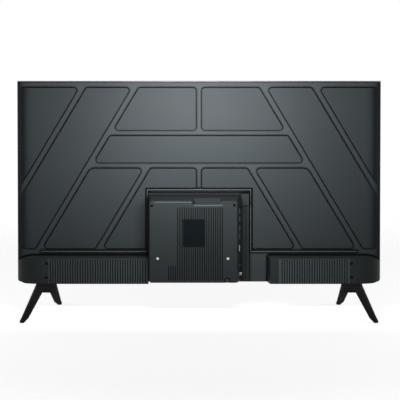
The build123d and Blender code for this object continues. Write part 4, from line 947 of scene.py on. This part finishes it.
@dataclass
class Ports(Assembly):
    """The sockets along the side of the tower and the mains inlet, with sizes in metres."""

    PARTS = (
        "usb_socket_1", "usb_socket_2", "hdmi_socket_1", "hdmi_socket_2", "lan_socket",
        "optical_socket", "av_socket", "antenna_socket", "mains_inlet",
    )

    usb: Tongue = Tongue(
        width=10.8 * MM, gauge=1.4 * MM, count=4, pitch=2.5 * MM,
        pad=(6.0 * MM, 0.08 * MM, 1.1 * MM), sides=(1,),
    )
    hdmi: Tongue = Tongue(
        width=11.0 * MM, gauge=1.2 * MM, count=10, pitch=1.0 * MM,
        pad=(4.0 * MM, 0.08 * MM, 0.45 * MM), sides=(-1, 1),
    )
    skin: float = 0.05 * MM
    mouth: float = 0.3 * MM
    back: float = 0.5 * MM
    pad_share: float = 0.6
    lan_pitch: float = 1.02 * MM
    lan_count: int = 8
    lan_blade: Triple = (8.0 * MM, 0.3 * MM, 0.4 * MM)
    lan_share: float = 0.75
    lan_wall: float = 2.0 * MM
    pin_radius: float = 1.2 * MM
    pin_pitch: float = 8.6 * MM
    pin_start: float = 2.0 * MM
    pin_length: float = 7.9 * MM
    pin_tip: float = 0.7
    pin_taper: float = 0.3
    pin_sides: int = 20

    def tongue(self, socket: str, size: Tongue) -> bpy.types.Object:
        """Cover the contact tongue of a socket with black plastic.

        Args:
            socket: the CAD node.
            size: its tongue.

        Returns:
            The cover.
        """
        low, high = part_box(socket)
        centre = middle(socket)
        deep, wide = size.gauge / 2 + self.skin, size.width / 2 + self.skin
        start = Vector((low.x + self.mouth - self.skin, centre.y - deep, centre.z - wide))
        end = Vector((high.x - self.back, centre.y + deep, centre.z + wide))
        cover = box_piece(f"{socket}_tongue", start, end, self.bench.paints["part_black"])
        return self.bench.keep(cover, SET_BODY, "part_black")

    def pads(self, socket: str, size: Tongue, side: int) -> bpy.types.Object:
        """Lay a row of gold contacts on one side of a tongue.

        Args:
            socket: the CAD node.
            size: its tongue.
            side: 1 for the rear side of the tongue, -1 for its front side.

        Returns:
            The row.
        """
        centre = middle(socket)
        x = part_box(socket)[0].x + self.mouth + size.pad[0] * self.pad_share
        y = centre.y + side * (size.gauge / 2 + self.skin)
        return self.bench.blocks(
            f"{socket}_contacts_{SIDE_NAMES[side]}", "nickel_barrel", "gold_contact", Count_X=1,
            Count_Z=size.count, Span_X=0.0, Span_Z=(size.count - 1) * size.pitch,
            Centre=(x, y, centre.z), Size=size.pad, Seed=5,
        )

    def lan_blades(self) -> bpy.types.Object:
        """Lay the sprung contacts of the network socket.

        Returns:
            The row.
        """
        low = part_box("lan_socket")[0]
        x = low.x + self.lan_blade[0] * self.lan_share
        y = low.y + self.lan_wall + self.lan_blade[1] * 2
        return self.bench.blocks(
            "lan_socket_contacts", "nickel_barrel", "gold_contact", Count_X=1,
            Count_Z=self.lan_count, Span_X=0.0, Span_Z=(self.lan_count - 1) * self.lan_pitch,
            Centre=(x, y, middle("lan_socket").z), Size=self.lan_blade, Seed=8,
        )

    def mains_pin(self, side: int) -> bpy.types.Object:
        """Sleeve a pin of the mains inlet in metal.

        Args:
            side: 1 for the rear pin, -1 for the front one.

        Returns:
            The sleeve.
        """
        centre = middle("mains_inlet")
        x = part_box("mains_inlet")[0].x + self.pin_start - self.skin
        start = Vector((x, centre.y + side * self.pin_pitch / 2, centre.z))
        radius = self.pin_radius + self.skin
        tip = [(0.0, radius * self.pin_tip), (radius * self.pin_taper, radius)]
        sleeve = ring_piece(
            f"mains_inlet_pin_{SIDE_NAMES[side]}", start, Vector((1.0, 0.0, 0.0)),
            [*tip, (self.pin_length, radius)], self.bench.paints["zinc_steel"],
            sides=self.pin_sides,
        )
        return self.bench.keep(sleeve, SET_BODY, "zinc_steel")

    def build(self) -> list[bpy.types.Object]:
        """Add the tongues, contacts and pins.

        Returns:
            The new pieces.
        """
        made = [self.lan_blades(), *(self.mains_pin(side) for side in SIDE_NAMES)]
        for number in (1, 2):
            sockets = ((f"usb_socket_{number}", self.usb), (f"hdmi_socket_{number}", self.hdmi))
            made += [self.tongue(*socket) for socket in sockets]
            made += [self.pads(*socket, side) for socket in sockets for side in socket[1].sides]
        return made


RESISTOR = (1.6 * MM, 0.5 * MM, 0.8 * MM)
CHIP = (4.4 * MM, 1.1 * MM, 5.0 * MM)


@dataclass(frozen=True)
class Scatter:
    """A loose grid of small parts, with its place and span as shares of its board's sides."""

    name: str
    board: str
    place: Pair
    span: Pair
    count: tuple[int, int]
    seed: int
    size: Triple = RESISTOR
    paint: str = "ceramic_tan"


@dataclass
class Boards(Assembly):
    """The three circuit boards with what stands on them, with sizes in metres."""

    PARTS = (
        "main_board", "power_board", "timing_board", "board_screws", "signal_flat_cable",
        "main_heat_sink", "wifi_module", "power_transformer", "filter_capacitors",
        "power_heat_sink",
    )
    SCATTERS = (
        Scatter("main_resistors", "main_board", (0.72, 0.34), (0.36, 0.30), (7, 11), 11),
        Scatter("main_resistors_top", "main_board", (0.80, 0.80), (0.24, 0.12), (6, 6), 12),
        Scatter("main_chips", "main_board", (0.66, 0.16), (0.24, 0.06), (3, 2), 13, CHIP,
                "part_black"),
        Scatter("power_resistors", "power_board", (0.50, 0.50), (0.50, 0.06), (10, 3), 14),
        Scatter("timing_resistors", "timing_board", (0.44, 0.50), (0.30, 0.30), (8, 3), 15),
    )

    gauge: float = 1.6 * MM
    jitter_share: float = 0.12
    size_spread: float = 0.15
    sleeve_count: int = 3
    sleeve_gap: float = 0.04 * MM
    sleeve_top: float = 0.9 * MM
    sleeve_low: float = 0.6 * MM
    sleeve_shoulder: float = 0.9

    def scatter(self, parts: Scatter) -> bpy.types.Object:
        """Stand a loose grid of small parts on the rear face of a board.

        Args:
            parts: the grid.

        Returns:
            The piece.
        """
        low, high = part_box(parts.board)
        wide, tall = high.x - low.x, high.z - low.z
        y = low.y + self.gauge + parts.size[1] / 2
        span = parts.span[0] * wide
        return self.bench.blocks(
            parts.name, "part_black", parts.paint, Count_X=parts.count[0],
            Count_Z=parts.count[1], Span_X=span, Span_Z=parts.span[1] * tall,
            Centre=(low.x + parts.place[0] * wide, y, low.z + parts.place[1] * tall),
            Size=parts.size, Jitter=span / (parts.count[0] - 1) * self.jitter_share,
            Size_Spread=self.size_spread, Seed=parts.seed,
        )

    def sleeves(self) -> list[bpy.types.Object]:
        """Put a plain sleeve round each filter capacitor.

        Returns:
            The sleeves.
        """
        low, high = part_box("filter_capacitors")
        radius = (high.z - low.z) / 2
        step = ((high.x - low.x) - 2 * radius) / (self.sleeve_count - 1)
        length = high.y - low.y - self.sleeve_low - self.sleeve_top
        outer = radius + self.sleeve_gap
        end = (length, outer - self.sleeve_gap / 2)
        profile = [(0.0, outer), (length * self.sleeve_shoulder, outer), end]
        made = []
        for number in range(self.sleeve_count):
            x = low.x + radius + number * step
            sleeve = ring_piece(
                f"capacitor_sleeve_{number + 1}",
                Vector((x, low.y + self.sleeve_low, (low.z + high.z) / 2)),
                Vector((0.0, 1.0, 0.0)), profile, self.bench.paints["sleeve_blue"],
            )
            made.append(self.bench.keep(sleeve, SET_BODY, "part_black"))
        return made

    def build(self) -> list[bpy.types.Object]:
        """Add the small parts and the capacitors' sleeves.

        Returns:
            The new pieces.
        """
        return [self.scatter(parts) for parts in self.SCATTERS] + self.sleeves()


@dataclass
class Sound(Assembly):
    """Two loudspeakers in the lower housings, with sizes in metres."""

    PARTS = ("speaker_left", "speaker_right")

    mouth: float = 7.6 * MM
    stretch: float = 59.0 / 16.0
    # Heights of the roll and the cone above the rim, each with its share of the mouth
    profile: tuple[Pair, ...] = (
        (4.9 * MM, 1.0), (3.2 * MM, 0.86), (4.4 * MM, 0.70), (4.9 * MM, 0.25)
    )
    sides: int = 48

    def cone(self, node: str) -> bpy.types.Object:
        """Put a paper cone with a rubber roll into the oval mouth of a loudspeaker.

        Args:
            node: the CAD node.

        Returns:
            The cone.
        """
        centre = middle(node)
        centre.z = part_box(node)[0].z
        rings = [(height, self.mouth * share) for height, share in self.profile]
        cone = ring_piece(
            f"{node}_cone", centre, Vector((0.0, 0.0, 1.0)), rings,
            self.bench.paints["cone_paper"], stretch=self.stretch, sides=self.sides,
        )
        return self.bench.keep(cone, SET_BODY, "part_black")

    def build(self) -> list[bpy.types.Object]:
        """Add the cones.

        Returns:
            The new pieces.
        """
        return [self.cone(node) for node in self.PARTS]


@dataclass
class Studio:
    """Soft light from above behind the set, a pale floor and a long lens.

    Its sizes are in metres, degrees and watts.
    """

    elevation: float = 13.86
    distance: float = 29.3
    width: float = 1.0554
    target: Triple = (-0.0026, -0.0225, 0.3022)
    sensor_mm: float = 36.0
    clip_end: float = 100.0
    pixels: int = 400
    floor_inner: float = 0.7
    floor_outer: float = 1.2
    floor_margin: float = 1.05
    floor_grey: float = 0.94
    floor_rough: float = 0.9
    floor_glow: float = 0.82
    fill: float = 0.03
    key_place: Triple = (0.0, 0.42, 0.50)
    key_target: Triple = (0.0, -0.02, 0.68)
    key_size: Pair = (0.36, 0.12)
    key_power: float = 4.3
    side_distance: float = 1.5
    side_height: float = 0.30
    side_size: Pair = (0.10, 0.70)
    side_power: float = 3.6

    def camera(self) -> bpy.types.Object:
        """Place the camera behind the set and above it.

        Returns:
            The camera.
        """
        data = bpy.data.cameras.new("camera")
        data.sensor_width = self.sensor_mm
        data.lens = self.sensor_mm * self.distance / self.width
        data.clip_end = self.clip_end
        data.dof.use_dof = False
        camera = bpy.data.objects.new("camera", data)
        tilt = math.radians(self.elevation)
        away = Vector((0.0, math.cos(tilt), math.sin(tilt))) * self.distance
        camera.location = Vector(self.target) + away
        camera.rotation_euler = (-away).to_track_quat("-Z", "Y").to_euler()
        bpy.context.scene.collection.objects.link(camera)
        bpy.context.scene.camera = camera
        return camera

    def area(
        self, name: str, place: Triple, target: Triple, size: Pair, power: float
    ) -> bpy.types.Object:
        """Add a soft light.

        Args:
            name: its name.
            place: where it stands.
            target: where it points.
            size: its two sides.
            power: watts.

        Returns:
            The light.
        """
        data = bpy.data.lights.new(name, "AREA")
        data.shape = "RECTANGLE"
        data.size, data.size_y = size
        data.energy = power
        light = bpy.data.objects.new(name, data)
        light.location = place
        light.rotation_euler = (Vector(target) - light.location).to_track_quat("-Z", "Y").to_euler()
        light.visible_camera = False
        bpy.context.scene.collection.objects.link(light)
        return light

    @staticmethod
    def seen_rays(tree: TreeBuilder) -> Socket:
        """Pick out the rays that show a background, straight or in a mirror or a glass.

        Args:
            tree: the nodes of a material or the world.

        Returns:
            A socket that is above zero for them.
        """
        rays = tree.node("ShaderNodeLightPath").outputs
        straight = tree.math("MAXIMUM", rays["Is Camera Ray"], rays["Is Glossy Ray"])
        return tree.math("MAXIMUM", straight, rays["Is Transmission Ray"])

    def world(self) -> None:
        """Fill with an even grey and show white behind the set."""
        world = bpy.data.worlds.new("studio")
        bpy.context.scene.world = world
        world.use_nodes = True
        world.node_tree.nodes.clear()
        tree = TreeBuilder(world.node_tree)
        fill, white = (
            tree.node("ShaderNodeBackground", {"Color": WHITE, "Strength": strength}).outputs[0]
            for strength in (self.fill, 1.0)
        )
        mix = tree.node("ShaderNodeMixShader", {0: self.seen_rays(tree), 1: fill, 2: white})
        tree.node("ShaderNodeOutputWorld", {"Surface": mix.outputs[0]})

    def floor(self) -> bpy.types.Object:
        """Lay a pale floor that fades out round the set.

        Returns:
            The floor.
        """
        material = bpy.data.materials.new("floor_paper")
        material.use_nodes = True
        tree = TreeBuilder(material.node_tree)
        where = tree.node("ShaderNodeTexCoord").outputs["Object"]
        length = tree.node("ShaderNodeVectorMath", {0: where}, operation="LENGTH")
        fade = {
            "Value": length.outputs["Value"],
            "From Min": self.floor_inner,
            "From Max": self.floor_outer,
            "To Min": 1.0,
            "To Max": 0.0,
        }
        alpha = tree.node("ShaderNodeMapRange", fade, interpolation_type="SMOOTHSTEP")
        shader = {
            "Base Color": (self.floor_grey, self.floor_grey, self.floor_grey, 1.0),
            "Roughness": self.floor_rough,
            "Alpha": alpha.outputs["Result"],
            "Emission Color": WHITE,
            "Emission Strength": tree.math("MULTIPLY", self.seen_rays(tree), self.floor_glow),
        }
        for name, value in shader.items():
            tree.feed(material.node_tree.nodes["Principled BSDF"].inputs[name], value)
        reach = self.floor_outer * self.floor_margin
        points = [
            (-reach, -reach, 0.0), (reach, -reach, 0.0), (reach, reach, 0.0), (-reach, reach, 0.0)
        ]
        floor = mesh_piece("floor", points, [(0, 1, 2, 3)], material)
        return floor

    def build(self) -> None:
        """Set up camera, world, floor, lights and picture."""
        self.camera()
        self.world()
        self.floor()
        self.area("key", self.key_place, self.key_target, self.key_size, self.key_power)
        for name, side in (("fill_left", 1), ("fill_right", -1)):
            place = (side * self.side_distance, 0.0, self.side_height)
            target = (0.0, 0.0, self.side_height)
            self.area(name, place, target, self.side_size, self.side_power)
        scene = bpy.context.scene
        scene.render.resolution_x = scene.render.resolution_y = self.pixels
        scene.view_settings.view_transform = "Standard"


class Television:
    """The whole set: it dresses and builds its sub-assemblies in turn."""

    def __init__(self, bench: Bench) -> None:
        """Make the sub-assemblies.

        Args:
            bench: nodes, finishes and trees.
        """
        kinds = (Screen, Ports, Boards, Sound, RearShell, Feet, Tower)
        self.assemblies = [kind(bench) for kind in kinds]

    def make(self) -> None:
        """Dress every node and build every new piece."""
        for assembly in self.assemblies:
            assembly.dress()
        for assembly in self.assemblies:
            for piece in assembly.build():
                faces = len(piece.data.polygons)
                log.info("%s: %s built, %d faces", type(assembly).__name__, piece.name, faces)


def slots_of(record: dict) -> dict[str, str]:
    """Read which finish the record gives each node.

    Args:
        record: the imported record.

    Returns:
        The slot of each node.
    """
    return {part["node"]: part["material_slot"] for part in record["subparts"]}


def main() -> None:
    """Load the frame, build and dress the set, light it and finish."""
    logging.basicConfig(level=logging.INFO)
    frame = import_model()
    paints = Paintbox(FINISHES + EXTRA_FINISHES)
    bench = Bench(frame["nodes"], paints, ArrayTree(), slots_of(frame["record"]))
    Studio().build()
    Television(bench).make()


if __name__ == "__main__":
    main()
